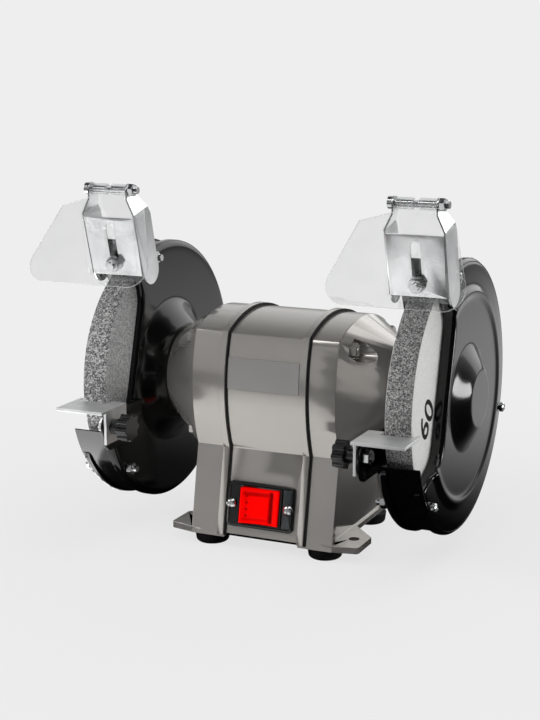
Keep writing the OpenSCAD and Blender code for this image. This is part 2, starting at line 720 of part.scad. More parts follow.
// Across the bracket: a straight flange that leans in to the hinge lug
module bracket_side_section() polygon([
    [bracket_w / 2, -face_drop - 10], [bracket_w / 2, bracket_top + 2], [ear_in, bracket_top + 11],
    [ear_in, hinge_v + 6], [ear_in - bracket_t, hinge_v + 6], [ear_in - bracket_t, bracket_top + 10.8],
    [bracket_w / 2 - bracket_t, bracket_top + 1.7], [bracket_w / 2 - bracket_t, -face_drop - 10]
]);
module bracket_side_outline() {
    polygon([[0, -face_drop], [0, bracket_top], [hinge_w - 4, hinge_v], [hinge_w + 4, hinge_v],
        [bracket_depth, bracket_top - 3], [bracket_depth, -face_drop]]);
    translate([hinge_w, hinge_v]) circle(4);
    translate([bracket_depth / 2 + 1, -face_drop]) circle(bracket_depth / 2 - 1);
}
module bracket_bolt(side) color(zinc) on_side(side) bracket_frame() rotate([-90, 0, 0]) {
    translate([0, 0, -slack - 1]) cylinder(h = 1, r = 5);
    translate([0, 0, -slack - 4.6]) cylinder(h = 3.6, r = 4.6, $fn = 6);
    translate([0, 0, -slack - 6.6]) cylinder(h = 14, r = clamp_r);
    translate([0, 0, bracket_t + slack + 1.2]) cylinder(h = 3.3, r = 4.6, $fn = 6);
}
module hinge_bolt(side) color(zinc) on_side(side) bracket_frame() translate([0, hinge_w, hinge_v]) {
    head = side * -1;
    mirror([head > 0 ? 1 : 0, 0, 0]) {
        rod(-ear_in - 3, -ear_in, 3.6);
        rod(-ear_in, ear_in + 5.6, hinge_r);
        hex_x(ear_in, ear_in + 3.2, 3.9);
    }
}

// Clear eye shield, hung from two knuckles on the hinge bolt
module eye_shield(side) color([0.85, 0.9, 0.92, 0.35]) on_side(side) bracket_frame()
    translate([0, hinge_w, hinge_v]) rotate([-bracket_lean - shield_tilt, 0, 0]) difference() {
        union() {
            translate([0, shield_t - knuckle_r, 0]) rotate([90, 0, 0]) linear_extrude(shield_t)
                shield_outline(side == right ? shield_offset : 0);
            for (m = [0, 1]) mirror([m, 0, 0]) rod(knuckle_in, knuckle_out, knuckle_r);
        }
        rod(-reach, reach, hinge_r + pin_gap);
        rod(-knuckle_in, knuckle_in, knuckle_r + slack);
    }
module shield_outline(offset) {
    corner_x = shield_half - corner_r;
    corner_z = corner_r - shield_len;
    polygon([
        [-knuckle_out, 0], [knuckle_out, 0], [knuckle_out, -7.2], [offset + corner_x, -13],
        [offset + shield_half - 0.5, corner_z + 3.5], [offset + corner_x, -shield_len],
        [offset - corner_x, -shield_len], [offset - shield_half + 0.5, corner_z + 3.5],
        [offset - corner_x, -13], [-knuckle_out, -7.2]
    ]);
    for (x = [-corner_x, corner_x]) translate([offset + x, corner_z]) circle(corner_r);
}

color(body_grey) end_shield(left);  // left_end_shield
color(body_grey) end_shield(right);  // right_end_shield
motor_housing();
nameplate();
base_plate();
rubber_feet();
foot_screws();
tie_bolts();
stator_core();
stator_windings();
rotor_core();
motor_shaft();
bearing_ring(left, washer_t, bearing_r, ball_pcd_r + race_gap);  // left_outer_race
bearing_ring(right, 0, bearing_r, ball_pcd_r + race_gap);  // right_outer_race
bearing_ring(left, washer_t, ball_pcd_r - race_gap, journal_r);  // left_inner_race
bearing_ring(right, 0, ball_pcd_r - race_gap, journal_r);  // right_inner_race
bearing_balls();
wave_washer();
capacitor();
capacitor_clamp();
terminal_block();
cable_gland();
switch_body();
switch_rocker();
switch_screws();
wheel(left, [0.45, 0.45, 0.45]);  // left_wheel
wheel(right, [0.6, 0.6, 0.6]);  // right_wheel
inner_flange(left);  // left_inner_flange
inner_flange(right);  // right_inner_flange
outer_flange(left);  // left_outer_flange
outer_flange(right);  // right_outer_flange
blotters(left);  // left_blotters
blotters(right);  // right_blotters
spindle_nut(left);  // left_spindle_nut
spindle_nut(right);  // right_spindle_nut
inner_guard(left);  // left_inner_guard
inner_guard(right);  // right_inner_guard
guard_band(left);  // left_guard_band
guard_band(right);  // right_guard_band
outer_cover(left);  // left_outer_cover
outer_cover(right);  // right_outer_cover
guard_screws(left);  // left_guard_screws
guard_screws(right);  // right_guard_screws
neck_screws(left);  // left_neck_screws
neck_screws(right);  // right_neck_screws
tool_rest(left);  // left_tool_rest
tool_rest(right);  // right_tool_rest
rest_knob(left);  // left_rest_knob
rest_knob(right);  // right_rest_knob
rest_bolt(left);  // left_rest_bolt
rest_bolt(right);  // right_rest_bolt
shield_bracket(left);  // left_shield_bracket
shield_bracket(right);  // right_shield_bracket
eye_shield(left);  // left_eye_shield
eye_shield(right);  // right_eye_shield
hinge_bolt(left);  // left_hinge_bolt
hinge_bolt(right);  // right_hinge_bolt
bracket_bolt(left);  // left_bracket_bolt
bracket_bolt(right);  // right_bracket_bolt
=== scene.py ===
# Electric double-wheel bench grinder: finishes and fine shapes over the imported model.
import json
import math

import bmesh
import bpy
from mathutils import Matrix, Vector, geometry


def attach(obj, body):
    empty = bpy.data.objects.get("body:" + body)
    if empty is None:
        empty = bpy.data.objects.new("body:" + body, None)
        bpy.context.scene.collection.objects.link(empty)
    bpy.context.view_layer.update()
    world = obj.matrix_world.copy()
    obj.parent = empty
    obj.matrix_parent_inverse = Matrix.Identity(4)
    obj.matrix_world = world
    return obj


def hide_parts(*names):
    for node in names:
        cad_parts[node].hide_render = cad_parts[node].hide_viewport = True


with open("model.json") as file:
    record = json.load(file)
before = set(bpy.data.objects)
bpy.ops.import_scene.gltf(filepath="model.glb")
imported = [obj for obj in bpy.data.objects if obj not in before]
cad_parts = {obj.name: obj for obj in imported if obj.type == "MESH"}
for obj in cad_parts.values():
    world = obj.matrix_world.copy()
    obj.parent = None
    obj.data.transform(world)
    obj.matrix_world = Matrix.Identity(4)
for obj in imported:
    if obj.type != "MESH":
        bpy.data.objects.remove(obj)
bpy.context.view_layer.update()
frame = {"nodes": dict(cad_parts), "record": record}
nodes = frame["nodes"]
mm = 0.001
shaft = Vector((0, 8.05 * mm, 98 * mm))   # middle of the shaft, half way between the wheels
sides = (("left", -1), ("right", 1))


def linear(hexCode):
    channels = [int(hexCode[i:i + 2], 16) / 255 for i in (1, 3, 5)]
    return tuple(c / 12.92 if c <= 0.04045 else ((c + 0.055) / 1.055) ** 2.4 for c in channels) + (1.0,)


def addNode(tree, kind, inputs=None, **settings):
    node = tree.nodes.new(kind)
    for key, value in settings.items():
        setattr(node, key, value)
    for key, value in (inputs or {}).items():
        if isinstance(value, bpy.types.NodeSocket):
            tree.links.new(value, node.inputs[key])
        else:
            node.inputs[key].default_value = value
    return node


def newMaterial(name):
    material = bpy.data.materials.new(name)
    material.use_nodes = True
    tree = material.node_tree
    tree.nodes.clear()
    output = addNode(tree, "ShaderNodeOutputMaterial")
    shader = addNode(tree, "ShaderNodeBsdfPrincipled")
    tree.links.new(shader.outputs[0], output.inputs[0])
    place = addNode(tree, "ShaderNodeTexCoord").outputs["Object"]
    return material, tree, shader, place


# width of one blotch of each pattern in millimetres
blotch = {"paintTone": 45, "paintGloss": 18, "plateTone": 14, "rollingLine": 0.8, "plasticTone": 9,
          "plasticGloss": 3, "wipingHaze": 12, "sawnEdge": 7, "paintedGlow": 6}
# how far the roughness wanders, as shares of its mean
uneven = {"paint": (0.85, 1.15), "plate": (0.92, 1.1), "plastic": (0.85, 1.15)}


def twoTones(tree, place, width, shade, base):
    # soft blotches of two close tones
    cloud = addNode(tree, "ShaderNodeTexNoise", {"Vector": place, "Scale": 1 / (width * mm)})
    tone = addNode(tree, "ShaderNodeValToRGB", {0: cloud.outputs[0]})
    for element, position, colour in zip(tone.color_ramp.elements, (0.3, 0.7), (shade, base)):
        element.position = position
        element.color = linear(colour)
    return tone.outputs[0]


def addSkin(tree, shader, glossPattern, rough, wander, reliefPattern, depth):
    # a roughness that wanders about its mean, and a relief that is depth millimetres high
    low, high = wander
    gloss = addNode(tree, "ShaderNodeMapRange", {0: glossPattern.outputs[0], 3: rough * low, 4: rough * high})
    tree.links.new(gloss.outputs[0], shader.inputs["Roughness"])
    relief = addNode(tree, "ShaderNodeBump", {"Height": reliefPattern.outputs[0], "Distance": depth * mm})
    tree.links.new(relief.outputs[0], shader.inputs["Normal"])


def enamel(name, base, shade, rough, peel, depth, flake=0.0, gloss=0.5, coat=0.0):
    # sprayed and stoved enamel: an even film with a faint orange peel, and metal flake in the grey one
    material, tree, shader, place = newMaterial(name)
    tree.links.new(twoTones(tree, place, blotch["paintTone"], shade, base), shader.inputs["Base Color"])
    cloud = addNode(tree, "ShaderNodeTexNoise", {"Vector": place, "Scale": 1 / (blotch["paintGloss"] * mm)})
    film = addNode(tree, "ShaderNodeTexNoise", {"Vector": place, "Scale": 1 / (peel * mm), "Detail": 3})
    addSkin(tree, shader, cloud, rough, uneven["paint"], film, depth)
    shader.inputs["Metallic"].default_value = flake
    shader.inputs["Specular IOR Level"].default_value = gloss
    shader.inputs["Coat Weight"].default_value = coat
    shader.inputs["Coat Roughness"].default_value = 0.1
    return material


def platedSteel(name, base, shade, rough, grain=(1, 1, 1)):
    # bright zinc over rolled steel, or bare metal: fine rolling lines and cloudy patches
    material, tree, shader, place = newMaterial(name)
    shader.inputs["Metallic"].default_value = 1.0
    tree.links.new(twoTones(tree, place, blotch["plateTone"], shade, base), shader.inputs["Base Color"])
    along = addNode(tree, "ShaderNodeMapping", {"Vector": place, "Scale": grain}).outputs[0]
    lines = addNode(tree, "ShaderNodeTexNoise", {"Vector": along, "Scale": 1 / (blotch["rollingLine"] * mm),
                    "Detail": 3})
    addSkin(tree, shader, lines, rough, uneven["plate"], lines, 0.0006)   # 0.6 micrometres, almost flat
    return material


def moulded(name, base, rough, grain, depth, shade=None, gloss=0.3):
    # moulded plastic or rubber with the fine spark grain of its tool; ink and card get a grain too
    material, tree, shader, place = newMaterial(name)
    tone = twoTones(tree, place, blotch["plasticTone"], shade or base, base)
    tree.links.new(tone, shader.inputs["Base Color"])
    cloud = addNode(tree, "ShaderNodeTexNoise", {"Vector": place, "Scale": 1 / (blotch["plasticGloss"] * mm)})
    spark = addNode(tree, "ShaderNodeTexNoise", {"Vector": place, "Scale": 1 / (grain * mm), "Detail": 3})
    addSkin(tree, shader, cloud, rough, uneven["plastic"], spark, depth)
    shader.inputs["Specular IOR Level"].default_value = gloss
    return material


def abrasive(name, dark, mid, light, grit, depth):
    # vitrified aluminium oxide: grains of mixed tone with open pores between them
    material, tree, shader, place = newMaterial(name)
    cells = addNode(tree, "ShaderNodeTexVoronoi", {"Vector": place, "Scale": 1 / (grit * mm)})
    tone = addNode(tree, "ShaderNodeSeparateColor", {0: cells.outputs["Color"]}).outputs[0]
    colours = addNode(tree, "ShaderNodeValToRGB", {0: tone})
    colours.color_ramp.elements[0].color = linear(dark)
    colours.color_ramp.elements[1].color = linear(light)
    colours.color_ramp.elements.new(0.5).color = linear(mid)
    tree.links.new(colours.outputs[0], shader.inputs["Base Color"])
    shader.inputs["Roughness"].default_value = 0.8
    pores = addNode(tree, "ShaderNodeBump", {"Height": cells.outputs["Distance"], "Distance": depth * mm})
    tree.links.new(pores.outputs[0], shader.inputs["Normal"])
    return material


def clearSheet():
    # clear polycarbonate, cut from sheet: glossy, almost unseen face on, with a faint wiping haze
    material, tree, shader, place = newMaterial("clearPolycarbonate")
    shader.inputs["Base Color"].default_value = linear("#dfe2e2")
    shader.inputs["Transmission Weight"].default_value = 1.0
    shader.inputs["IOR"].default_value = 1.2   # thin sheet hardly bends what is behind it
    shader.inputs["Roughness"].default_value = 0.0
    wiped = addNode(tree, "ShaderNodeTexNoise", {"Vector": place, "Scale": 1 / (blotch["wipingHaze"] * mm)})
    haze = addNode(tree, "ShaderNodeMapRange", {0: wiped.outputs[0], 3: 0.1, 4: 0.2})
    tree.links.new(haze.outputs[0], shader.inputs["Alpha"])
    return material


def cutEdge():
    # the sawn edge of the clear sheet, pale and half opaque: a painted highlight where the edge catches light
    material, tree, shader, place = newMaterial("sheetEdgeHighlight")
    tone = twoTones(tree, place, blotch["sawnEdge"], "#cfd3d3", "#f4f6f6")
    tree.links.new(tone, shader.inputs["Base Color"])
    shader.inputs["Roughness"].default_value = 0.15
    shader.inputs["Alpha"].default_value = 0.35
    return material


def rockerPlastic():
    # red polycarbonate key: painted shade darkens it where it is sunken, and a faint painted glow keeps its
    # red full
    material, tree, shader, place = newMaterial("redRockerPlastic")
    sinkAndShade = addNode(tree, "ShaderNodeAttribute", attribute_name="sinkAndShade")
    cloud = addNode(tree, "ShaderNodeTexNoise", {"Vector": place, "Scale": 1 / (blotch["paintedGlow"] * mm)})
    mottle = addNode(tree, "ShaderNodeMapRange", {0: cloud.outputs[0], 3: -0.06, 4: 0.06})
    depth = addNode(tree, "ShaderNodeMath", {0: sinkAndShade.outputs["Fac"], 1: mottle.outputs[0]}, operation="ADD")
    tone = addNode(tree, "ShaderNodeValToRGB", {0: depth.outputs[0]})
    tone.color_ramp.elements[0].color = linear("#f40201")
    tone.color_ramp.elements[1].color = linear("#5c0000")
    tree.links.new(tone.outputs[0], shader.inputs["Base Color"])
    tree.links.new(tone.outputs[0], shader.inputs["Emission Color"])
    shader.inputs["Roughness"].default_value = 0.3
    shader.inputs["Specular IOR Level"].default_value = 0.02
    shader.inputs["Emission Strength"].default_value = 0.28
    return material


# sizes of grain, peel and grit, and all depths, are in millimetres
paint = {
    "castEnamel": enamel("warmGreyEnamel", "#aeaba6", "#a8a5a0", rough=0.18, peel=1.6, depth=0.01, flake=0.6,
                         coat=0.4),
    "plateEnamel": enamel("plateGreyEnamel", "#868583", "#81807e", rough=0.45, peel=1.0, depth=0.006),
    "blackEnamel": enamel("glossBlackEnamel", "#060606", "#040404", rough=0.13, peel=2.4, depth=0.006,
                          gloss=0.42),
    "zinc": platedSteel("brightZincPlate", "#eeeff0", "#dcddde", rough=0.16, grain=(1, 1, 0.15)),
    "boltZinc": platedSteel("tumbledBoltZinc", "#dcddde", "#c4c5c6", rough=0.2),
    "polished": platedSteel("polishedRestSteel", "#f0f1f1", "#dddede", rough=0.5, grain=(0.1, 1, 1)),
    "steel": platedSteel("machinedSteel", "#a5a6a8", "#97989a", rough=0.32),
    "copper": platedSteel("enamelledCopper", "#9a5a35", "#7c4426", rough=0.4),
    "rubber": moulded("footRubber", "#141414", rough=0.65, grain=0.6, depth=0.02, shade="#0e0e0e"),
    "blackPlastic": moulded("blackAbs", "#141516", rough=0.36, grain=0.5, depth=0.01, shade="#0f1011"),
    "palePlastic": moulded("paleNylon", "#d8d6cf", rough=0.5, grain=0.6, depth=0.01),
    "panelPlastic": moulded("bluishBlackAbs", "#23292b", rough=0.3, grain=0.5, depth=0.01, shade="#1d2224",
                            gloss=0.5),
    "knobPlastic": moulded("glossBlackKnob", "#0c0c0c", rough=0.22, grain=0.8, depth=0.01, gloss=0.6),
    "ink": moulded("stampInk", "#101010", rough=0.7, grain=0.5, depth=0.005),
    "card": moulded("blotterCard", "#a58a5c", rough=0.9, grain=0.8, depth=0.03, shade="#927a50"),
    # the sides and the dressed tread of each wheel
    "coarseStone": abrasive("coarseGreyWheel", "#8a8a8a", "#b0b0b0", "#cfcfce", grit=0.8, depth=0.12),
    "fineStone": abrasive("fineGreyWheel", "#cfcfce", "#dededc", "#e8e8e6", grit=0.5, depth=0.04),
    "leftRim": abrasive("coarseGreyTread", "#303031", "#7c7c7c", "#cacac9", grit=0.7, depth=0.25),
    "rightRim": abrasive("fineGreyTread", "#333333", "#7a7a7a", "#bebebc", grit=0.6, depth=0.2),
    "clear": clearSheet(),
    "clearEdge": cutEdge(),
    "redPlastic": rockerPlastic(),
}
print("materials done")

finishes = {
    "body_paint": "castEnamel", "plate_grey": "plateEnamel", "black_paint": "blackEnamel", "rubber": "rubber",
    "zinc_steel": "zinc", "steel": "steel", "copper_wire": "copper", "capacitor_shell": "palePlastic",
    "black_plastic": "blackPlastic", "red_plastic": "redPlastic", "coarse_stone": "coarseStone",
    "fine_stone": "fineStone", "blotter_card": "card", "clear_plastic": "clear",
}
slotOf = {entry["node"]: entry["material_slot"] for entry in frame["record"]["subparts"]}
bodyOf = {node: body for body, names in frame["record"]["behaviour"]["bodies"].items() for node in names}


def finishMesh(piece, sharpAngle=32):
    for polygon in piece.data.polygons:
        polygon.use_smooth = True
    piece.data.set_sharp_from_angle(angle=math.radians(sharpAngle))


def softenEdges(piece, width, angle=35, segments=2):
    bevel = piece.modifiers.new("edges", "BEVEL")
    bevel.width = width * mm
    bevel.segments = segments
    bevel.limit_method = "ANGLE"
    bevel.angle_limit = math.radians(angle)
    bevel.use_clamp_overlap = False
    bevel.harden_normals = True


def dressNode(node, width, material=None, angle=35, segments=2):
    # a merged copy of the solid, so that its edges can be rounded
    piece = bpy.data.objects.new(node + "_shape", nodes[node].data.copy())
    bpy.context.scene.collection.objects.link(piece)
    work = bmesh.new()
    work.from_mesh(piece.data)
    bmesh.ops.remove_doubles(work, verts=work.verts, dist=0.002 * mm)
    bmesh.ops.dissolve_limit(work, angle_limit=math.radians(0.6), verts=work.verts, edges=work.edges)
    work.to_mesh(piece.data)
    work.free()
    finishMesh(piece, angle - 3)
    if width:
        softenEdges(piece, width, angle, segments)
    piece.data.materials.clear()
    piece.data.materials.append(material or paint[finishes[slotOf[node]]])
    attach(piece, bodyOf[node])
    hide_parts(node)
    return piece


# how wide each edge is rounded in millimetres, and 0.2 on the nodes that aren't named
edgeWidths = {"end_shield": 0.2, "motor_housing": 0.5, "tool_rest": 0.25, "eye_shield": 0.15, "nameplate": 0,
              "rubber_feet": 0.5, "rest_knob": 0.5}
ownShape = ("outer_cover", "wheel", "inner_guard", "shield_bracket", "switch_body", "switch_rocker")
ownPaint = {"tie_bolts": "castEnamel", "left_rest_knob": "knobPlastic", "right_rest_knob": "knobPlastic",
            "left_tool_rest": "polished", "right_tool_rest": "polished"}
for node in nodes:
    if not node.endswith(ownShape):
        width = next((value for key, value in edgeWidths.items() if key in node), 0.2)
        plain = "boltZinc" if slotOf[node] == "zinc_steel" else finishes[slotOf[node]]
        # the folds of the castings are shallow, so their limit is lower
        crease = 23 if node == "motor_housing" or "end_shield" in node else 35
        piece = dressNode(node, width, paint[ownPaint.get(node, plain)], crease)
        if "rest_knob" in node:
            piece.modifiers["edges"].use_clamp_overlap = True
        if node.endswith("eye_shield"):
            # the broad faces are clear and the cut edges carry the painted edge highlight
            piece.data.materials.append(paint["clearEdge"])
            normals = sorted((polygon.area, tuple(polygon.normal)) for polygon in piece.data.polygons)
            broad = Vector(normals[-1][1])
            for polygon in piece.data.polygons:
                polygon.material_index = 0 if abs(polygon.normal.dot(broad)) > 0.9 else 1
print("plain pieces done")


def meshPiece(name, points, faces, material, body, *replaced):
    # points in millimetres from the middle of the shaft
    mesh = bpy.data.meshes.new(name)
    mesh.from_pydata([shaft + Vector(point) * mm for point in points], [], faces)
    piece = bpy.data.objects.new(name, mesh)
    bpy.context.scene.collection.objects.link(piece)
    mesh.materials.append(paint[material])
    finishMesh(piece)
    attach(piece, body)
    if replaced:
        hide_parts(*replaced)
    return piece


def bakeModifiers(piece, sharpAngle=32):
    bpy.context.view_layer.update()
    baked = bpy.data.meshes.new_from_object(piece.evaluated_get(bpy.context.evaluated_depsgraph_get()))
    piece.modifiers.clear()
    piece.data = baked
    finishMesh(piece, sharpAngle)


def facesOut(piece):
    # points the faces of a shell one way, outwards where it is closed, and drops corners that no face uses
    work = bmesh.new()
    work.from_mesh(piece.data)
    bmesh.ops.delete(work, geom=[corner for corner in work.verts if not corner.link_faces], context="VERTS")
    bmesh.ops.recalc_face_normals(work, faces=work.faces)
    work.to_mesh(piece.data)
    work.free()


def flipTowards(piece, direction):
    # turns an open sheet so that its outer face looks along the given direction
    total = sum((polygon.normal * polygon.area for polygon in piece.data.polygons), Vector())
    if total.dot(Vector(direction)) < 0:
        piece.data.flip_normals()


guard = {"radius": 82.4, "sheet": 1.2, "corner": 7.0, "rimRound": 2.6, "rimReach": 5.0, "step": 1.6,
         "coverFace": 112.4, "coverRim": 6.6, "panFace": 85.0, "panRim": 6.0, "panHole": 12,
         "bossFoot": 32.6, "bossRun": 15.6, "bossRise": 8.1, "dishFoot": 45.5, "dishRun": 16, "dishRise": 11,
         "beadFrom": 67.5, "beadTo": 62.5, "beadRise": 2.1, "stepFrom": 62, "stepTo": 57.5, "stepFall": 1.3,
         "slopeFrom": 67, "slope": 0.07, "screwRing": 77.6, "screwTurns": (106, 222, 343), "screwFace": 1.8,
         "coverCut": ((-60, 90), (-24, 51), (-44, -27), (-53, -31), (-90, -46.5)),
         "panCut": ((-52, 88), (-34, 52), (-53, -16), (-66, -25), (-95, -25))}


def onCircle(inside, outside, radius):
    a, b = Vector(inside), Vector(outside)
    run = b - a
    half, gap = a.dot(run), a.dot(a) - radius * radius
    return a + run * ((-half + math.sqrt(half * half - run.dot(run) * gap)) / run.dot(run))


def guardOutline(cut):
    # the disc less its cut, as evenly spaced points with rounded corners
    radius = guard["radius"]
    start, end = onCircle(cut[1], cut[0], radius), onCircle(cut[-2], cut[-1], radius)
    low, high = math.atan2(end.y, end.x), math.atan2(start.y, start.x)
    turn = (high - low) % (2 * math.pi)
    count = int(turn * radius / guard["step"])
    corners = [start] + [Vector(p) for p in cut[1:-1]] + [end]
    outline = []
    for a, b in zip(corners, corners[1:]):
        pieces = max(2, int((b - a).length / guard["step"]))
        outline += [a.lerp(b, i / pieces) for i in range(pieces)]
    outline += [Vector((math.cos(low + turn * i / count), math.sin(low + turn * i / count))) * radius
                for i in range(count)]
    near = [any((p - corner).length < guard["corner"] for corner in corners) for p in outline]
    for _ in range(12):
        outline = [p.lerp((outline[i - 1] + outline[(i + 1) % len(outline)]) / 2, 0.8) if near[i] else p
                   for i, p in enumerate(outline)]
    return outline


def inset(outline, depth, share=None):
    result = []
    for i, p in enumerate(outline):
        along = (outline[(i + 1) % len(outline)] - outline[i - 1]).normalized()
        result.append(p + Vector((-along.y, along.x)) * depth * (share[i] if share else 1))
    return result


def roundShare(outline):
    # the rim is rolled wide round the disc and tight along its straight cuts
    share = [1.0 if p.length > guard["radius"] - 0.4 else 0.4 for p in outline]
    for _ in range(10):
        share = [(share[i - 1] + share[i] + share[(i + 1) % len(share)]) / 3 for i in range(len(share))]
    return share


def inside(point, outline):
    hit = False
    for a, b in zip(outline, outline[1:] + outline[:1]):
        if (a.y > point.y) != (b.y > point.y) and point.x < a.x + (point.y - a.y) * (b.x - a.x) / (b.y - a.y):
            hit = not hit
    return hit


def ease(value, low, high):
    t = min(1, max(0, (value - low) / (high - low)))
    return t * t * (3 - 2 * t)


def pressedRise(r, foot, run, straight):
    # from 0 at the foot to 1 at the top, partly a straight slope and partly rounded
    t = min(1, max(0, (foot - r) / run))
    return straight * t + (1 - straight) * t * t * (3 - 2 * t)


def coverHeight(r):
    # a rolled bead round a raised middle, and a hub boss with rounded shoulders
    bead = guard["beadRise"] * ease(-r, -guard["beadFrom"], -guard["beadTo"])
    fall = guard["stepFall"] * ease(-r, -guard["stepFrom"], -guard["stepTo"])
    slope = guard["slope"] * max(0, r - guard["slopeFrom"])
    return bead - fall - slope + guard["bossRise"] * pressedRise(r, guard["bossFoot"], guard["bossRun"], 0.75)


def panHeight(r):
    # the dished middle that reaches in to the neck of the motor body
    return guard["dishRise"] * pressedRise(r, guard["dishFoot"], guard["dishRun"], 0.6)


def pressedPan(name, hand, cut, face, rim, direction, heightAt, rings, hole, replaced):
    outline = guardOutline(cut)
    if sum(a.x * b.y - a.y * b.x for a, b in zip(outline, outline[1:] + outline[:1])) < 0:
        outline.reverse()
    radius, reach = guard["rimRound"], guard["rimReach"]
    levels = [(reach * (1 - math.sin(t)), radius * (1 - math.cos(t)))
              for t in (math.radians(a) for a in (0, 15, 30, 45, 60, 75, 90))]
    levels += [(0, radius + (rim - radius) * part) for part in (0.25, 0.5, 0.75, 1.0)]
    share = roundShare(outline)
    edge = inset(outline, reach, share)
    spots = list(edge)
    safe = inset(edge, 0.8)   # the rings of points keep clear of the rim
    for ring in rings:
        count = max(1, int(ring * 2 * math.pi / guard["step"])) if ring < 30 else 180
        for i in range(count):
            p = Vector((math.cos(2 * math.pi * i / count), math.sin(2 * math.pi * i / count))) * ring
            if inside(p, safe):
                spots.append(p)
    count = len(edge)
    flat, _, triangles, origins, _, _ = geometry.delaunay_2d_cdt(
        spots, [(i, (i + 1) % count) for i in range(count)], [], 1, 0.0001)
    newIndex = {old: i for i, olds in enumerate(origins) for old in olds}
    points = [(hand * (face + direction * heightAt(p.length)), p.x, p.y) for p in flat]
    faces = []
    for triangle in triangles:
        middle = sum((flat[i] for i in triangle), Vector((0, 0))) / 3
        if middle.length > hole:
            faces.append(tuple(triangle))
    # the rolled rim and its skirt hang on the flat part, level by level
    before = [newIndex[i] for i in range(count)]
    for depth, drop in levels[1:]:
        first = len(points)
        for p in inset(outline, depth, share):
            height = heightAt(p.length) if drop <= radius else 0
            points.append((hand * (face + direction * (height - drop)), p.x, p.y))
        faces += [(before[i], before[(i + 1) % count], first + (i + 1) % count, first + i)
                  for i in range(count)]
        before = list(range(first, first + count))
    piece = meshPiece(name, points, faces, "blackEnamel", "frame", replaced)
    facesOut(piece)
    flipTowards(piece, (hand * direction, 0, 0))
    wall = piece.modifiers.new("sheet", "SOLIDIFY")
    wall.thickness = guard["sheet"] * mm
    wall.offset = -1
    bakeModifiers(piece, 40)
    softenEdges(piece, 0.2, 50)


# radii of the rings of points, closer together where the sheet bends
coverRings = [80, 77, 74, 71, 69] + [67.5 - 0.5 * i for i in range(20)] + [56, 52, 48, 44, 40, 37, 35] \
    + [33.5 - 0.75 * i for i in range(24)] + [14, 11, 8, 5, 2]
panRings = [79, 74, 69, 64, 59, 54, 50] + [47 - i for i in range(20)] + [25, 22, 18, 14, 12]
for side, k in sides:
    pressedPan(side + "_cover", k, guard["coverCut"], guard["coverFace"], guard["coverRim"], 1, coverHeight,
               coverRings, 0, side + "_outer_cover")
    pressedPan(side + "_pan", k, guard["panCut"], guard["panFace"], guard["panRim"], -1, panHeight,
               panRings, guard["panHole"], side + "_inner_guard")
print("guards done")


wheel = {"edge": 0.6, "edgeSteps": 3}


def wheelPieces():
    for side, _ in sides:
        piece = dressNode(side + "_wheel", wheel["edge"], segments=wheel["edgeSteps"])
        bakeModifiers(piece)
        # the tread, whose faces look away from the shaft, is darker than the sides
        piece.data.materials.append(paint[side + "Rim"])
        for polygon in piece.data.polygons:
            if abs(polygon.normal.x) < 0.5:
                polygon.material_index = 1


wheelPieces()

# lean and boltTurn are angles, bends are half width, depth and radius, and all lengths are in millimetres
bracket = {"lean": math.radians(14.5), "across": 97.3, "boltReach": 87.6, "boltTurn": math.radians(57.6),
           "bends": ((18, 0, 1.8), (17, 1, 0.8)), "top": 29, "topRoll": 0.75, "boltEnd": 5.1,
           "hingeBack": 7.8, "hingeUp": 44.5, "hingeEnd": 16.9, "hingeMiddle": -1.4, "near": 0.05}
bracketOut = Vector((0, -math.cos(bracket["lean"]), -math.sin(bracket["lean"])))
bracketUp = Vector((0, -math.sin(bracket["lean"]), math.cos(bracket["lean"])))
bracketBolt = Vector((0, -math.cos(bracket["boltTurn"]), math.sin(bracket["boltTurn"])))
bracketBolt *= bracket["boltReach"]


def rollEdges(work, radius, segments, chosen):
    # rounds the edges of the bent sheet that the test picks, measured from the bracket's bolt
    found = []
    for edge in work.edges:
        a, b = [(corner.co - shaft) / mm - bracketBolt for corner in edge.verts]
        if chosen(a, (b - a).normalized()):
            found.append(edge)
    bmesh.ops.bevel(work, geom=found, offset=radius * mm, segments=segments, profile=0.5, affect="EDGES",
                    clamp_overlap=False)


def bracketPieces():
    for side, _ in sides:
        piece = dressNode(side + "_shield_bracket", 0)
        work = bmesh.new()
        work.from_mesh(piece.data)
        # the folds that run up the bracket at both sides, outside and inside of the sheet
        for half, depth, radius in bracket["bends"]:
            rollEdges(work, radius, 5, lambda a, run: abs(run.dot(bracketUp)) > 0.999
                      and abs(a.dot(bracketOut) + depth) < bracket["near"]
                      and abs(abs(abs(a.x) - bracket["across"]) - half) < bracket["near"])
        # the top edge of the face plate is rolled off to the front
        rollEdges(work, bracket["topRoll"], 4, lambda a, run: abs(run.x) > 0.999
                  and abs(a.dot(bracketOut)) < bracket["near"]
                  and abs(a.dot(bracketUp) - bracket["top"]) < bracket["near"])
        work.to_mesh(piece.data)
        work.free()
        finishMesh(piece, 28)
        softenEdges(piece, 0.2, 45)


bracketPieces()
print("wheels and brackets done")

motorBody = {"crownRadius": 80.5, "crownTop": 44.5, "faceRadius": 103, "faceReach": 44.2, "waist": -36,
             "footReach": 48.5, "footHeight": -89.5, "crownSteps": 14, "faceSteps": 16}
# black strips that stand for the shade to the right of each seam bead, standing proud over the crown
seamShade = {"width": 1.4, "proud": 0.5, "crownProud": 1.6, "sunk": -0.6, "leftX": 23.1, "rightX": 28.7}


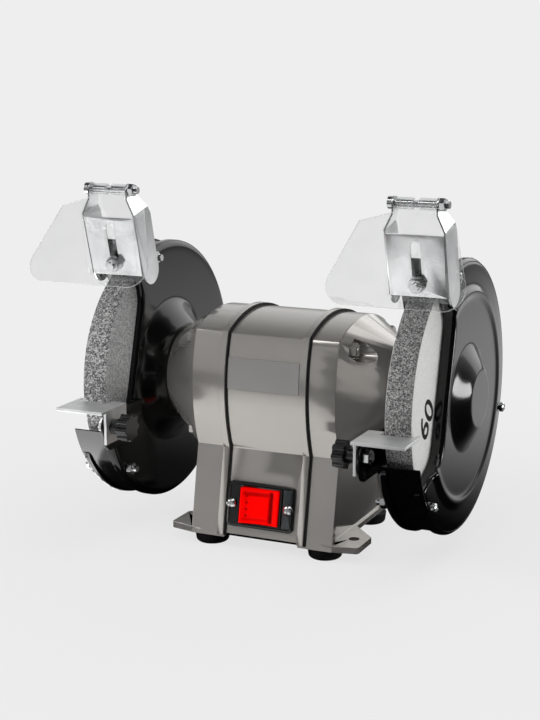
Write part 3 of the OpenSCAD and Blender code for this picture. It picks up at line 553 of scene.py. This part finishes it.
def bodyOutline(offset):
    # the motor body seen along the shaft, from the front foot over the crown to the back foot
    crown = motorBody["crownRadius"] + (offset if offset < 0 else seamShade["crownProud"])
    face = motorBody["faceRadius"] + offset
    crownZ = motorBody["crownTop"] - motorBody["crownRadius"]
    faceY = motorBody["faceRadius"] - motorBody["faceReach"]
    low, high = 0.0, 60.0
    for _ in range(40):
        # closes in on the angle at which the crown meets the rounded front
        middle = (low + high) / 2
        y = crown * math.sin(math.radians(middle))
        z = crown * math.cos(math.radians(middle)) + crownZ
        if y < math.sqrt(max(0, face * face - z * z)) - faceY:
            low = middle
        else:
            high = middle
    steps = motorBody["crownSteps"]
    turns = [math.radians(low * i / steps) for i in range(steps + 1)]
    half = [(crown * math.sin(turn), crown * math.cos(turn) + crownZ) for turn in turns]
    top = half[-1][1]
    steps = motorBody["faceSteps"]
    for i in range(1, steps + 1):
        z = top + (motorBody["waist"] - top) * i / steps
        half.append((math.sqrt(face * face - z * z) - faceY, z))
    half.append((motorBody["footReach"] + offset, motorBody["footHeight"]))
    return [(-y, z) for y, z in reversed(half)] + half[1:]


def seamShadePieces():
    # black strips in the joints between the housing and the end shields: painted shade on the dark right side
    # of each bead
    outer, inner = bodyOutline(seamShade["proud"]), bodyOutline(seamShade["sunk"])
    count, first = len(outer), 2 * len(outer)
    last = first - 2
    for name, k, x in (("left_seam_inner", -1, seamShade["leftX"]), ("right_seam_outer", 1, seamShade["rightX"])):
        points, faces = [], []
        for y, z in outer + inner:
            points += [(k * x, y, z), (k * (x + seamShade["width"]), y, z)]
        for i in range(count - 1):
            a, b = 2 * i, 2 * i + 2
            faces += [(a, b, b + 1, a + 1), (first + a, first + a + 1, first + b + 1, first + b),
                      (a, first + a, first + b, b), (a + 1, b + 1, first + b + 1, first + a + 1)]
        faces += [(0, 1, first + 1, first), (last, first + last, first + last + 1, last + 1)]
        piece = meshPiece(name, points, faces, "rubber", "frame")
        facesOut(piece)


seamShadePieces()

gritNumber = {"height": 23, "bolder": 0.35, "proud": 0.03, "turn": math.radians(50),
              "place": (105.33, -49.5, -3)}


def gritMark():
    curve = bpy.data.curves.new("gritNumber", "FONT")
    curve.body = "60"
    curve.size = gritNumber["height"] * mm
    curve.offset = gritNumber["bolder"] * mm
    curve.align_x = "CENTER"
    curve.align_y = "CENTER"
    curve.extrude = gritNumber["proud"] * mm
    piece = bpy.data.objects.new("gritNumber", curve)
    bpy.context.scene.collection.objects.link(piece)
    # stood up square to the shaft, then turned with the wheel
    upright = Matrix.Rotation(math.radians(90), 4, "Z") @ Matrix.Rotation(math.radians(90), 4, "X")
    place = Matrix.Translation(shaft + Vector(gritNumber["place"]) * mm)
    piece.matrix_world = place @ Matrix.Rotation(gritNumber["turn"], 4, "X") @ upright
    bpy.context.view_layer.update()
    mesh = bpy.data.meshes.new_from_object(piece)
    mesh.transform(piece.matrix_world)
    bpy.data.objects.remove(piece)
    mark = bpy.data.objects.new("grit_number", mesh)
    bpy.context.scene.collection.objects.link(mark)
    mesh.materials.clear()
    mesh.materials.append(paint["ink"])
    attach(mark, "rotor")


gritMark()
print("trim done")

restArm = {"face": 80.3, "sheet": 1.7, "end": 8.2, "drop": 15.0, "root": 38.5, "y": -86.5, "z": -17.5,
           "lowerTurn": 196.4, "lowerShift": 2, "pad": 6.0, "padSink": 0.6, "boltEnd": 86.0}


def arcPoints(centre, radius, start, stop, count):
    turns = [math.radians(start + (stop - start) * i / count) for i in range(count + 1)]
    return [(centre[0] + radius * math.cos(turn), centre[1] + radius * math.sin(turn)) for turn in turns]


def plateBetween(name, outline, low, high, material, body):
    # a flat plate square to the shaft, from its outline and its two faces
    count = len(outline)
    points = [(low, y, z) for y, z in outline] + [(high, y, z) for y, z in outline]
    faces = [tuple(range(count)), tuple(range(2 * count - 1, count - 1, -1))]
    faces += [(i, (i + 1) % count, count + (i + 1) % count, count + i) for i in range(count)]
    piece = meshPiece(name, points, faces, material, body)
    facesOut(piece)
    finishMesh(piece)
    softenEdges(piece, 0.4, 50, 3)


def restArms():
    # the flat arm under each rest, with a rounded end round the clamp bolt and a pad on the pan
    y, z, r = restArm["y"], restArm["z"], restArm["end"]
    root, top, bottom, bend = y + restArm["root"], z + r, z - restArm["drop"], restArm["lowerTurn"]
    outline = arcPoints((y, z), r, 90, bend, 10)
    outline += arcPoints((y + restArm["lowerShift"], bottom + r), r, bend, 270, 8)
    outline += [(root, bottom), (root, top)]
    pad = [(root - restArm["pad"], bottom), (root, bottom), (root, top), (root - restArm["pad"], top)]
    for side, k in sides:
        near, far = k * restArm["face"], k * (restArm["face"] + restArm["sheet"])
        plateBetween(side + "_rest_arm", outline, near, far, "blackEnamel", "frame")
        seat = k * (guard["panFace"] + restArm["padSink"])
        plateBetween(side + "_arm_pad", pad, far, seat, "blackEnamel", "frame")


restArms()

# edge is how far in and how high each step of the bezel's rim is, and lip how far out round the opening
switch = {"face": math.radians(11.1056), "y": 44.28, "z": 69.5, "bezelX": -0.7, "bezel": (44.0, 28.0),
          "thick": 2.4, "corner": 2.6, "rockerX": -1.3, "rocker": (24.3, 21.5), "opening": (26.1, 22.1),
          "tilt": math.radians(7), "sink": 3, "pitch": 37.8, "wellDepth": 6, "screwFace": 1.6,
          "edge": ((0, -0.9), (0.25, -0.3), (0.8, 0), (1.6, 0), (2.0, -0.35)),
          "lip": ((2.2, -0.35), (1.6, 0.5), (0.6, 0.6), (0, 0.3)), "panelGap": 2.4, "panelMargin": 2.2}


def switchPoint(x, out, up):
    # a place on the sloping front: sideways, out of the face and up along it
    c, s = math.cos(switch["face"]), math.sin(switch["face"])
    return (x, -switch["y"] - out * c + up * s, -switch["z"] + out * s + up * c)


def roundedLoop(width, height, radius, centre, count=5):
    loop = []
    for signX, signZ, start in ((1, 1, 0), (-1, 1, 90), (-1, -1, 180), (1, -1, 270)):
        middle = (centre + signX * (width / 2 - radius), signZ * (height / 2 - radius))
        loop += arcPoints(middle, radius, start, start + 90, count)
    return loop


def loopPiece(name, loops, toPoint, material, body, *replaced):
    # skins a stack of loops, each an outline and its height
    points, faces = [], []
    count = len(loops[0][0])
    for outline, height in loops:
        points += [toPoint(x, height, up) for x, up in outline]
    for level in range(len(loops) - 1):
        first = level * count
        faces += [(first + i, first + (i + 1) % count, first + count + (i + 1) % count, first + count + i)
                  for i in range(count)]
    piece = meshPiece(name, points, faces, material, body, *replaced)
    facesOut(piece)
    return piece


def switchBezel():
    width, height = switch["bezel"]
    openWidth, openHeight = switch["opening"]
    middle, rocker, thick = switch["bezelX"], switch["rockerX"], switch["thick"]
    loops = [(roundedLoop(width, height, switch["corner"], middle), 0)]
    for depth, out in switch["edge"]:
        corner = max(0.6, switch["corner"] - depth)
        loops.append((roundedLoop(width - 2 * depth, height - 2 * depth, corner, middle), thick + out))
    for grow, out in switch["lip"]:
        rim = roundedLoop(openWidth + 2 * grow, openHeight + 2 * min(grow, 0.8), 0.9, rocker)
        loops.append((rim, thick + out))
    loops.append((roundedLoop(openWidth, openHeight, 0.9, rocker), -switch["wellDepth"]))
    loopPiece("switch_bezel", loops, switchPoint, "knobPlastic", "frame", "switch_body")
    # the raised panel beside the rocker
    left = rocker + openWidth / 2 + switch["panelGap"]
    right = middle + width / 2 - 1.0
    wide, tall, centre = right - left, height - 2 * switch["panelMargin"], (left + right) / 2
    panel = [(roundedLoop(wide, tall, 0.8, centre), thick - 0.5),
             (roundedLoop(wide, tall, 0.8, centre), thick + 0.25),
             (roundedLoop(wide - 0.8, tall - 0.8, 0.6, centre), thick + 0.5),
             (roundedLoop(0.2, 0.2, 0.05, centre), thick + 0.5)]
    piece = loopPiece("switch_panel", panel, switchPoint, "panelPlastic", "frame")


# grooves are how far in from that edge, how wide and how deep a share; margins are where they end
# the deeper share of each groove is also darker painted shade, most at the right and least at the left
rockerKey = {"scoop": 26.6, "scoopCentre": 32.9, "edgeFall": 0.7, "edgeRun": 0.8, "grooveDepth": 0.7,
             "skirt": 2.4, "columns": 66, "rows": 54, "dimples": (-6, -2, 2, 6), "dimpleIn": 4.0,
             "grooves": {"right": (5.0, 2.8, 0.95), "top": (3.4, 2.2, 0.6), "bottom": (2.6, 1.8, 0.35),
                         "left": (3.6, 1.6, 0.2)},
             "margins": {"right": 3.0, "left": 1.8, "top": 1.2, "bottom": 1.0}}


def fromEdges(x, up):
    half, tall = switch["rocker"][0] / 2, switch["rocker"][1] / 2
    return {"right": half - x, "left": half + x, "top": tall - up, "bottom": tall + up}


def rockerDepth(x, up):
    # how far the key is sunken, from 0 to 1: a wide soft groove round its middle and dimples at its left
    # the same share also sets how dark the painted shade on the red is
    away = fromEdges(x, up)
    sinkAndShade = max(share * (1 - ease(abs(away[edge] - inwards), 0.2, width))
                 for edge, (inwards, width, share) in rockerKey["grooves"].items())
    sinkAndShade *= ease(min(away[edge] - margin for edge, margin in rockerKey["margins"].items()), -0.6, 0.8)
    if x < 0:
        for dimple in rockerKey["dimples"]:
            reach = math.hypot(away["left"] - rockerKey["dimpleIn"], up - dimple)
            sinkAndShade = max(sinkAndShade, 0.7 * (1 - ease(reach, 0.3, 1.4)))
    return min(1, sinkAndShade)


def rockerHeight(x, up):
    # a scooped key with rounded edges
    scoop = rockerKey["scoopCentre"] - math.sqrt(rockerKey["scoop"] ** 2 - x * x)
    fall = rockerKey["edgeFall"] * (1 - ease(min(fromEdges(x, up).values()), 0, rockerKey["edgeRun"]))
    return scoop - fall - rockerKey["grooveDepth"] * rockerDepth(x, up)


def switchRocker():
    half, tall = switch["rocker"][0] / 2, switch["rocker"][1] / 2
    columns, rows = rockerKey["columns"], rockerKey["rows"]
    across = columns + 1
    c, s = math.cos(switch["tilt"]), math.sin(switch["tilt"])

    def tilted(x, out, up):
        return switchPoint(switch["rockerX"] + x * c + out * s, out * c - x * s - switch["sink"], up)

    grid = [(half * (2 * i / columns - 1), tall * (2 * j / rows - 1))
            for j in range(rows + 1) for i in range(across)]
    points = [tilted(x, rockerHeight(x, up), up) for x, up in grid]
    faces = [(j * across + i, j * across + i + 1, (j + 1) * across + i + 1, (j + 1) * across + i)
             for j in range(rows) for i in range(columns)]
    # the skirt hangs from the rim of the grid and the bottom closes it
    rim = list(range(across)) + [j * across + columns for j in range(1, rows + 1)]
    rim += [rows * across + i for i in range(columns - 1, -1, -1)]
    rim += [j * across for j in range(rows - 1, 0, -1)]
    first, count = len(points), len(rim)
    points += [tilted(grid[n][0], -rockerKey["skirt"], grid[n][1]) for n in rim]
    faces += [(rim[i], first + i, first + (i + 1) % count, rim[(i + 1) % count]) for i in range(count)]
    faces.append(tuple(first + i for i in range(count)))
    piece = meshPiece("rocker_key", points, faces, "redPlastic", "rocker", "switch_rocker")
    facesOut(piece)
    finishMesh(piece, 40)
    # each point's sunken share becomes painted shade in the red, darkest in the grooves and dimples
    sinkAndShade = piece.data.attributes.new("sinkAndShade", "FLOAT", "POINT")
    for n, (x, up) in enumerate(grid):
        sinkAndShade.data[n].value = rockerDepth(x, up)


switchBezel()
switchRocker()
print("switch and arms done")

screwHead = {"radius": 3.1, "rise": 1.1, "slotHalf": 0.42, "slotReach": 1.9, "slotDepth": 0.7,
             "rings": (0.12, 0.22, 0.32, 0.42, 0.52, 0.62, 0.74, 0.86, 0.95, 1.0), "around": 40}
screwThread = {"wire": 0.22, "pitch": 0.5, "thin": 1.95, "thick": 2.4}


def nodeTree(name, inputs):
    tree = bpy.data.node_groups.new(name, "GeometryNodeTree")
    tree.interface.new_socket("Geometry", in_out="INPUT", socket_type="NodeSocketGeometry")
    sockets = {key: tree.interface.new_socket(key, in_out="INPUT", socket_type=kind).identifier
               for key, kind in inputs.items()}
    tree.interface.new_socket("Geometry", in_out="OUTPUT", socket_type="NodeSocketGeometry")
    return tree, sockets, addNode(tree, "NodeGroupInput"), addNode(tree, "NodeGroupOutput")


def endTree(tree, geometry, material, output):
    whole = addNode(tree, "GeometryNodeRealizeInstances", {0: geometry})
    painted = addNode(tree, "GeometryNodeSetMaterial", {0: whole.outputs[0]})
    tree.links.new(material, painted.inputs["Material"])
    tree.links.new(painted.outputs[0], output.inputs[0])


def threadTree():
    tree, sockets, given, output = nodeTree("screwThread", {
        "Radius": "NodeSocketFloat", "Pitch": "NodeSocketFloat", "Turns": "NodeSocketInt",
        "Wire": "NodeSocketFloat", "Material": "NodeSocketMaterial"})
    step = addNode(tree, "ShaderNodeCombineXYZ", {2: given.outputs["Pitch"]})
    line = addNode(tree, "GeometryNodeMeshLine", {"Count": given.outputs["Turns"], "Offset": step.outputs[0]})
    ring = addNode(tree, "GeometryNodeCurvePrimitiveCircle", {
        "Resolution": 24, "Radius": given.outputs["Radius"]})
    crest = addNode(tree, "GeometryNodeCurvePrimitiveCircle", {
        "Resolution": 6, "Radius": given.outputs["Wire"]})
    turn = addNode(tree, "GeometryNodeCurveToMesh", {0: ring.outputs[0], 1: crest.outputs[0]})
    placed = addNode(tree, "GeometryNodeInstanceOnPoints", {
        "Points": line.outputs[0], "Instance": turn.outputs[0]})
    endTree(tree, placed.outputs[0], given.outputs["Material"], output)
    return tree, sockets


def headTree():
    tree, sockets, given, output = nodeTree("crossHeads", {
        "Head": "NodeSocketObject", "Turn": "NodeSocketRotation", "Material": "NodeSocketMaterial"})
    head = addNode(tree, "GeometryNodeObjectInfo", {"Object": given.outputs["Head"]})
    placed = addNode(tree, "GeometryNodeInstanceOnPoints", {
        "Points": given.outputs["Geometry"], "Instance": head.outputs["Geometry"],
        "Rotation": given.outputs["Turn"]})
    endTree(tree, placed.outputs[0], given.outputs["Material"], output)
    return tree, sockets


def growPiece(name, mesh, grower, values, body, place=None):
    # runs a tree on a base mesh and keeps the result as a plain mesh
    tree, sockets = grower
    piece = bpy.data.objects.new(name, mesh)
    bpy.context.scene.collection.objects.link(piece)
    nodesModifier = piece.modifiers.new("grow", "NODES")
    nodesModifier.node_group = tree
    for key, value in values.items():
        nodesModifier[sockets[key]] = value
    bakeModifiers(piece)
    if place:
        piece.data.transform(place)
    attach(piece, body)


def crossHead():
    # a domed screw head with a cross recess, standing on +Z
    rings, around = screwHead["rings"], screwHead["around"]

    def place(part, turn):
        reach = screwHead["radius"] * part
        x, y = reach * math.cos(turn), reach * math.sin(turn)
        height = screwHead["rise"] * (1 - part ** 3)
        if min(abs(x), abs(y)) < screwHead["slotHalf"] and max(abs(x), abs(y)) < screwHead["slotReach"]:
            height -= screwHead["slotDepth"]
        return Vector((x, y, height)) * mm

    points = [place(0, 0)] + [place(part, 2 * math.pi * i / around) for part in rings for i in range(around)]
    faces = [(0, 1 + i, 1 + (i + 1) % around) for i in range(around)]
    for ring in range(len(rings) - 1):
        first = 1 + ring * around
        faces += [(first + i, first + around + i, first + around + (i + 1) % around, first + (i + 1) % around)
                  for i in range(around)]
    mesh = bpy.data.meshes.new("crossHead")
    mesh.from_pydata(points, [], faces)
    head = bpy.data.objects.new("crossHead", mesh)
    bpy.context.scene.collection.objects.link(head)
    finishMesh(head, 50)
    return head


def turnTo(direction):
    return Vector(direction).to_track_quat("Z", "Y")


def screwHeads(name, spots, direction, heads, head):
    # one cross head on each spot, facing along the direction
    places = bpy.data.meshes.new(name + "Places")
    places.from_pydata([shaft + Vector(spot) * mm for spot in spots], [], [])
    growPiece(name, places, heads, {"Head": head, "Material": paint["boltZinc"],
              "Turn": turnTo(direction).to_euler()}, "frame")


def fasteners():
    threads, heads, head = threadTree(), headTree(), crossHead()
    for side, k in sides:
        turns = [math.radians(turn) for turn in guard["screwTurns"]]
        spots = [(k * (guard["coverFace"] + guard["screwFace"]), guard["screwRing"] * math.cos(turn),
                  guard["screwRing"] * math.sin(turn)) for turn in turns]
        screwHeads(side + "_cover_screw_heads", spots, (k, 0, 0), heads, head)
    spots = [switchPoint(switch["bezelX"] + part * switch["pitch"], switch["thick"] + switch["screwFace"], 0)
             for part in (-0.5, 0.5)]
    outward = Vector(switchPoint(0, 1, 0)) - Vector(switchPoint(0, 0, 0))
    screwHeads("switch_screw_heads", spots, outward, heads, head)
    bpy.data.objects.remove(head)
    # the threads that show past the nuts: start, direction, radius, number of turns and body
    thin, thick = screwThread["thin"], screwThread["thick"]
    hinge = bracketBolt - bracketOut * bracket["hingeBack"] + bracketUp * bracket["hingeUp"]
    for side, k in sides:
        middle = Vector((k * bracket["across"], 0, 0))
        hingeEnd = middle + hinge + Vector((bracket["hingeEnd"], 0, 0))
        hingeMiddle = middle + hinge + Vector((bracket["hingeMiddle"], 0, 0))
        boltEnd = middle + bracketBolt + bracketOut * bracket["boltEnd"]
        restEnd = Vector((k * restArm["boltEnd"], restArm["y"], restArm["z"]))
        stubs = {
            "hinge_thread": (hingeEnd, (1, 0, 0), thin, 5, side + "_bracket"),
            "bracket_thread": (boltEnd, bracketOut, thick, 4, "frame"),
            "rest_thread": (restEnd, (k, 0, 0), thick, 3, side + "_clamp"),
            "hinge_turns": (hingeMiddle, (1, 0, 0), thin, 6, side + "_bracket")}
        for name, (start, direction, radius, turns, body) in stubs.items():
            place = Matrix.Translation(shaft + start * mm) @ turnTo(direction).to_matrix().to_4x4()
            growPiece(side + "_" + name, bpy.data.meshes.new(name), threads, {
                "Radius": radius * mm, "Pitch": screwThread["pitch"] * mm, "Turns": turns,
                "Wire": screwThread["wire"] * mm, "Material": paint["boltZinc"]}, body, place)


fasteners()
print("fasteners done")

# bench distances are in metres: the shadow fades out from shadowFrom to shadowReach; in gloss, a painted
# shadow of the machine lifts over glossBenchShadow from the share that is its third value, and the bench
# falls to horizon over farBench
stage = {"background": "#eeeeee", "floorTone": "#f2f2f2", "fill": 0.16, "roomFront": 0.05,
         "roomTurn": (0.3, 0.85), "horizon": 0.35, "horizonRise": 0.25, "shadowShare": 0.16,
         "shadowFrom": 0.1, "shadowReach": 0.45, "glossBenchShadow": (0.1, 0.42, 0.06), "farBench": (0.6, 1.8)}


def seenDirectly(tree, rays):
    # rays that come straight from the camera, or through clear plastic
    return addNode(tree, "ShaderNodeMath", {0: rays.outputs["Is Camera Ray"],
                   1: rays.outputs["Is Transmission Ray"]}, operation="MAXIMUM").outputs[0]


def behindShare(tree, heading):
    # gloss sees the dim room in front of the machine and the pale one behind it
    start, end = stage["roomTurn"]
    return addNode(tree, "ShaderNodeMapRange", {0: heading.outputs["Y"], 1: start, 2: end,
                   3: stage["roomFront"], 4: 1.0}, interpolation_type="SMOOTHSTEP").outputs[0]


def joinRays(tree, output, share, lit, shown, rays, mirrored):
    # lit is what lights the machine, shown what the camera sees and mirrored what gloss picks up
    mixed = addNode(tree, "ShaderNodeMixShader", {0: share, 1: lit.outputs[0], 2: shown.outputs[0]})
    gloss = addNode(tree, "ShaderNodeMixShader", {
        0: rays.outputs["Is Glossy Ray"], 1: mixed.outputs[0], 2: mirrored.outputs[0]})
    tree.links.new(gloss.outputs[0], output.inputs[0])


def addFloor():
    bpy.ops.mesh.primitive_plane_add(size=6, location=(0, 0, 0))
    floor = bpy.context.object
    floor.name = "floor"
    material = bpy.data.materials.new("paleBench")
    material.use_nodes = True
    tree = material.node_tree
    tree.nodes.clear()
    output = addNode(tree, "ShaderNodeOutputMaterial")
    rays = addNode(tree, "ShaderNodeLightPath")
    plain = addNode(tree, "ShaderNodeBsdfDiffuse", {"Color": linear(stage["floorTone"])})
    glow = addNode(tree, "ShaderNodeEmission", {"Color": linear(stage["background"])})
    place = addNode(tree, "ShaderNodeTexCoord").outputs["Object"]
    away = addNode(tree, "ShaderNodeVectorMath", {0: place}, operation="LENGTH").outputs["Value"]
    # the shadow stays under the machine and fades out before the floor meets the backdrop
    fade = addNode(tree, "ShaderNodeMapRange", {0: away, 1: stage["shadowFrom"], 2: stage["shadowReach"],
                   3: 1 - stage["shadowShare"], 4: 1.0}, interpolation_type="SMOOTHSTEP")
    share = addNode(tree, "ShaderNodeMath", {0: seenDirectly(tree, rays), 1: fade.outputs[0]},
                    operation="MULTIPLY")
    # gloss picks up less of the bench far off, and close by a painted shadow of the machine dims it
    start, end, least = stage["glossBenchShadow"]
    near = addNode(tree, "ShaderNodeMapRange", {0: away, 1: start, 2: end, 3: least, 4: 1.0},
                   interpolation_type="SMOOTHSTEP")
    start, end = stage["farBench"]
    far = addNode(tree, "ShaderNodeMapRange", {0: away, 1: start, 2: end, 3: 1.0, 4: stage["horizon"]},
                  interpolation_type="SMOOTHSTEP")
    bench = addNode(tree, "ShaderNodeMath", {0: near.outputs[0], 1: far.outputs[0]}, operation="MULTIPLY")
    ahead = addNode(tree, "ShaderNodeVectorMath", {0: place}, operation="NORMALIZE").outputs[0]
    heading = addNode(tree, "ShaderNodeSeparateXYZ", {0: ahead})
    strength = addNode(tree, "ShaderNodeMath", {0: behindShare(tree, heading), 1: bench.outputs[0]},
                       operation="MULTIPLY")
    dim = addNode(tree, "ShaderNodeEmission", {
        "Color": linear(stage["background"]), "Strength": strength.outputs[0]})
    joinRays(tree, output, share.outputs[0], plain, glow, rays, dim)
    floor.data.materials.append(material)


def addRoom():
    world = bpy.data.worlds.new("studio")
    bpy.context.scene.world = world
    world.use_nodes = True
    tree = world.node_tree
    tree.nodes.clear()
    output = addNode(tree, "ShaderNodeOutputWorld")
    rays = addNode(tree, "ShaderNodeLightPath")
    soft = addNode(tree, "ShaderNodeBackground", {"Color": (1, 1, 1, 1), "Strength": stage["fill"]})
    shown = addNode(tree, "ShaderNodeBackground", {"Color": linear(stage["background"]), "Strength": 1.0})
    ahead = addNode(tree, "ShaderNodeTexCoord").outputs["Generated"]
    heading = addNode(tree, "ShaderNodeSeparateXYZ", {0: ahead})
    # the backdrop is dimmer near the horizon
    rise = addNode(tree, "ShaderNodeMapRange", {0: heading.outputs["Z"], 1: 0.0, 2: stage["horizonRise"],
                   3: stage["horizon"], 4: 1.0}, interpolation_type="SMOOTHSTEP")
    strength = addNode(tree, "ShaderNodeMath", {0: behindShare(tree, heading), 1: rise.outputs[0]},
                       operation="MULTIPLY")
    dim = addNode(tree, "ShaderNodeBackground", {
        "Color": linear(stage["background"]), "Strength": strength.outputs[0]})
    joinRays(tree, output, seenDirectly(tree, rays), soft, shown, rays, dim)


# place, size, power in watts and what each lamp is turned to; the reflectors lie on the bench and face up
lamps = {
    "floorReflector": ((-0.17, -0.165, 0.004), (0.42, 0.21), 0.31, (-0.17, -0.165, 1)),
    "leftReflector": ((-0.19, -0.06, 0.004), (0.2, 0.12), 0.3, (-0.18, -0.06, 1)),
    "sideWindow": ((0.75, 0.18, 0.14), (0.26, 0.16), 1.7, (0, 0, 0.1)),
    "bracketReflector": ((-0.15, -0.35, 0.004), (0.42, 0.16), 0.18, (-0.15, -0.35, 1)),
    "frontPanel": ((-0.55, -1.15, 0.36), (0.9, 0.6), 0.6, (0, 0, 0.1)),
    "keySoftbox": ((-1.15, -0.7, 0.8), (0.6, 0.5), 9, (0, 0, 0.1)),
    "frontFill": ((-0.15, -1.05, 1.4), (0.7, 0.5), 4, (0, 0, 0.1)),
    "topSoftbox": ((0.35, -0.1, 1.2), (0.9, 0.7), 3.6, (0, 0, 0.1)),
    "backSoftbox": ((0.6, 1.4, 0.7), (1.2, 1.2), 5, (0, 0, 0.1)),
}


def addLamp(name, place, size, power, target):
    lamp = bpy.data.lights.new(name, "AREA")
    lamp.shape = "RECTANGLE"
    lamp.size, lamp.size_y = size
    lamp.energy = power
    holder = bpy.data.objects.new(name, lamp)
    bpy.context.scene.collection.objects.link(holder)
    holder.location = place
    holder.rotation_euler = (Vector(target) - Vector(place)).to_track_quat("-Z", "Y").to_euler()
    holder.visible_camera = False


view = {"azimuth": math.radians(24.1), "elevation": math.radians(13.0), "distance": 0.9238, "lens": 74.2,
        "shift": (-0.0314, 0.0276)}


def addCamera():
    azimuth, elevation = view["azimuth"], view["elevation"]
    direction = Vector((math.sin(azimuth) * math.cos(elevation), -math.cos(azimuth) * math.cos(elevation),
                        math.sin(elevation)))
    data = bpy.data.cameras.new("viewCamera")
    data.lens = view["lens"]
    data.sensor_width = 36
    data.shift_x, data.shift_y = view["shift"]
    camera = bpy.data.objects.new("viewCamera", data)
    bpy.context.scene.collection.objects.link(camera)
    camera.location = shaft + direction * view["distance"]
    camera.rotation_euler = (-direction).to_track_quat("-Z", "Y").to_euler()
    bpy.context.scene.camera = camera


addFloor()
addRoom()
for name, settings in lamps.items():
    addLamp(name, *settings)
addCamera()
bpy.context.scene.view_settings.view_transform = "Standard"
print("stage done")
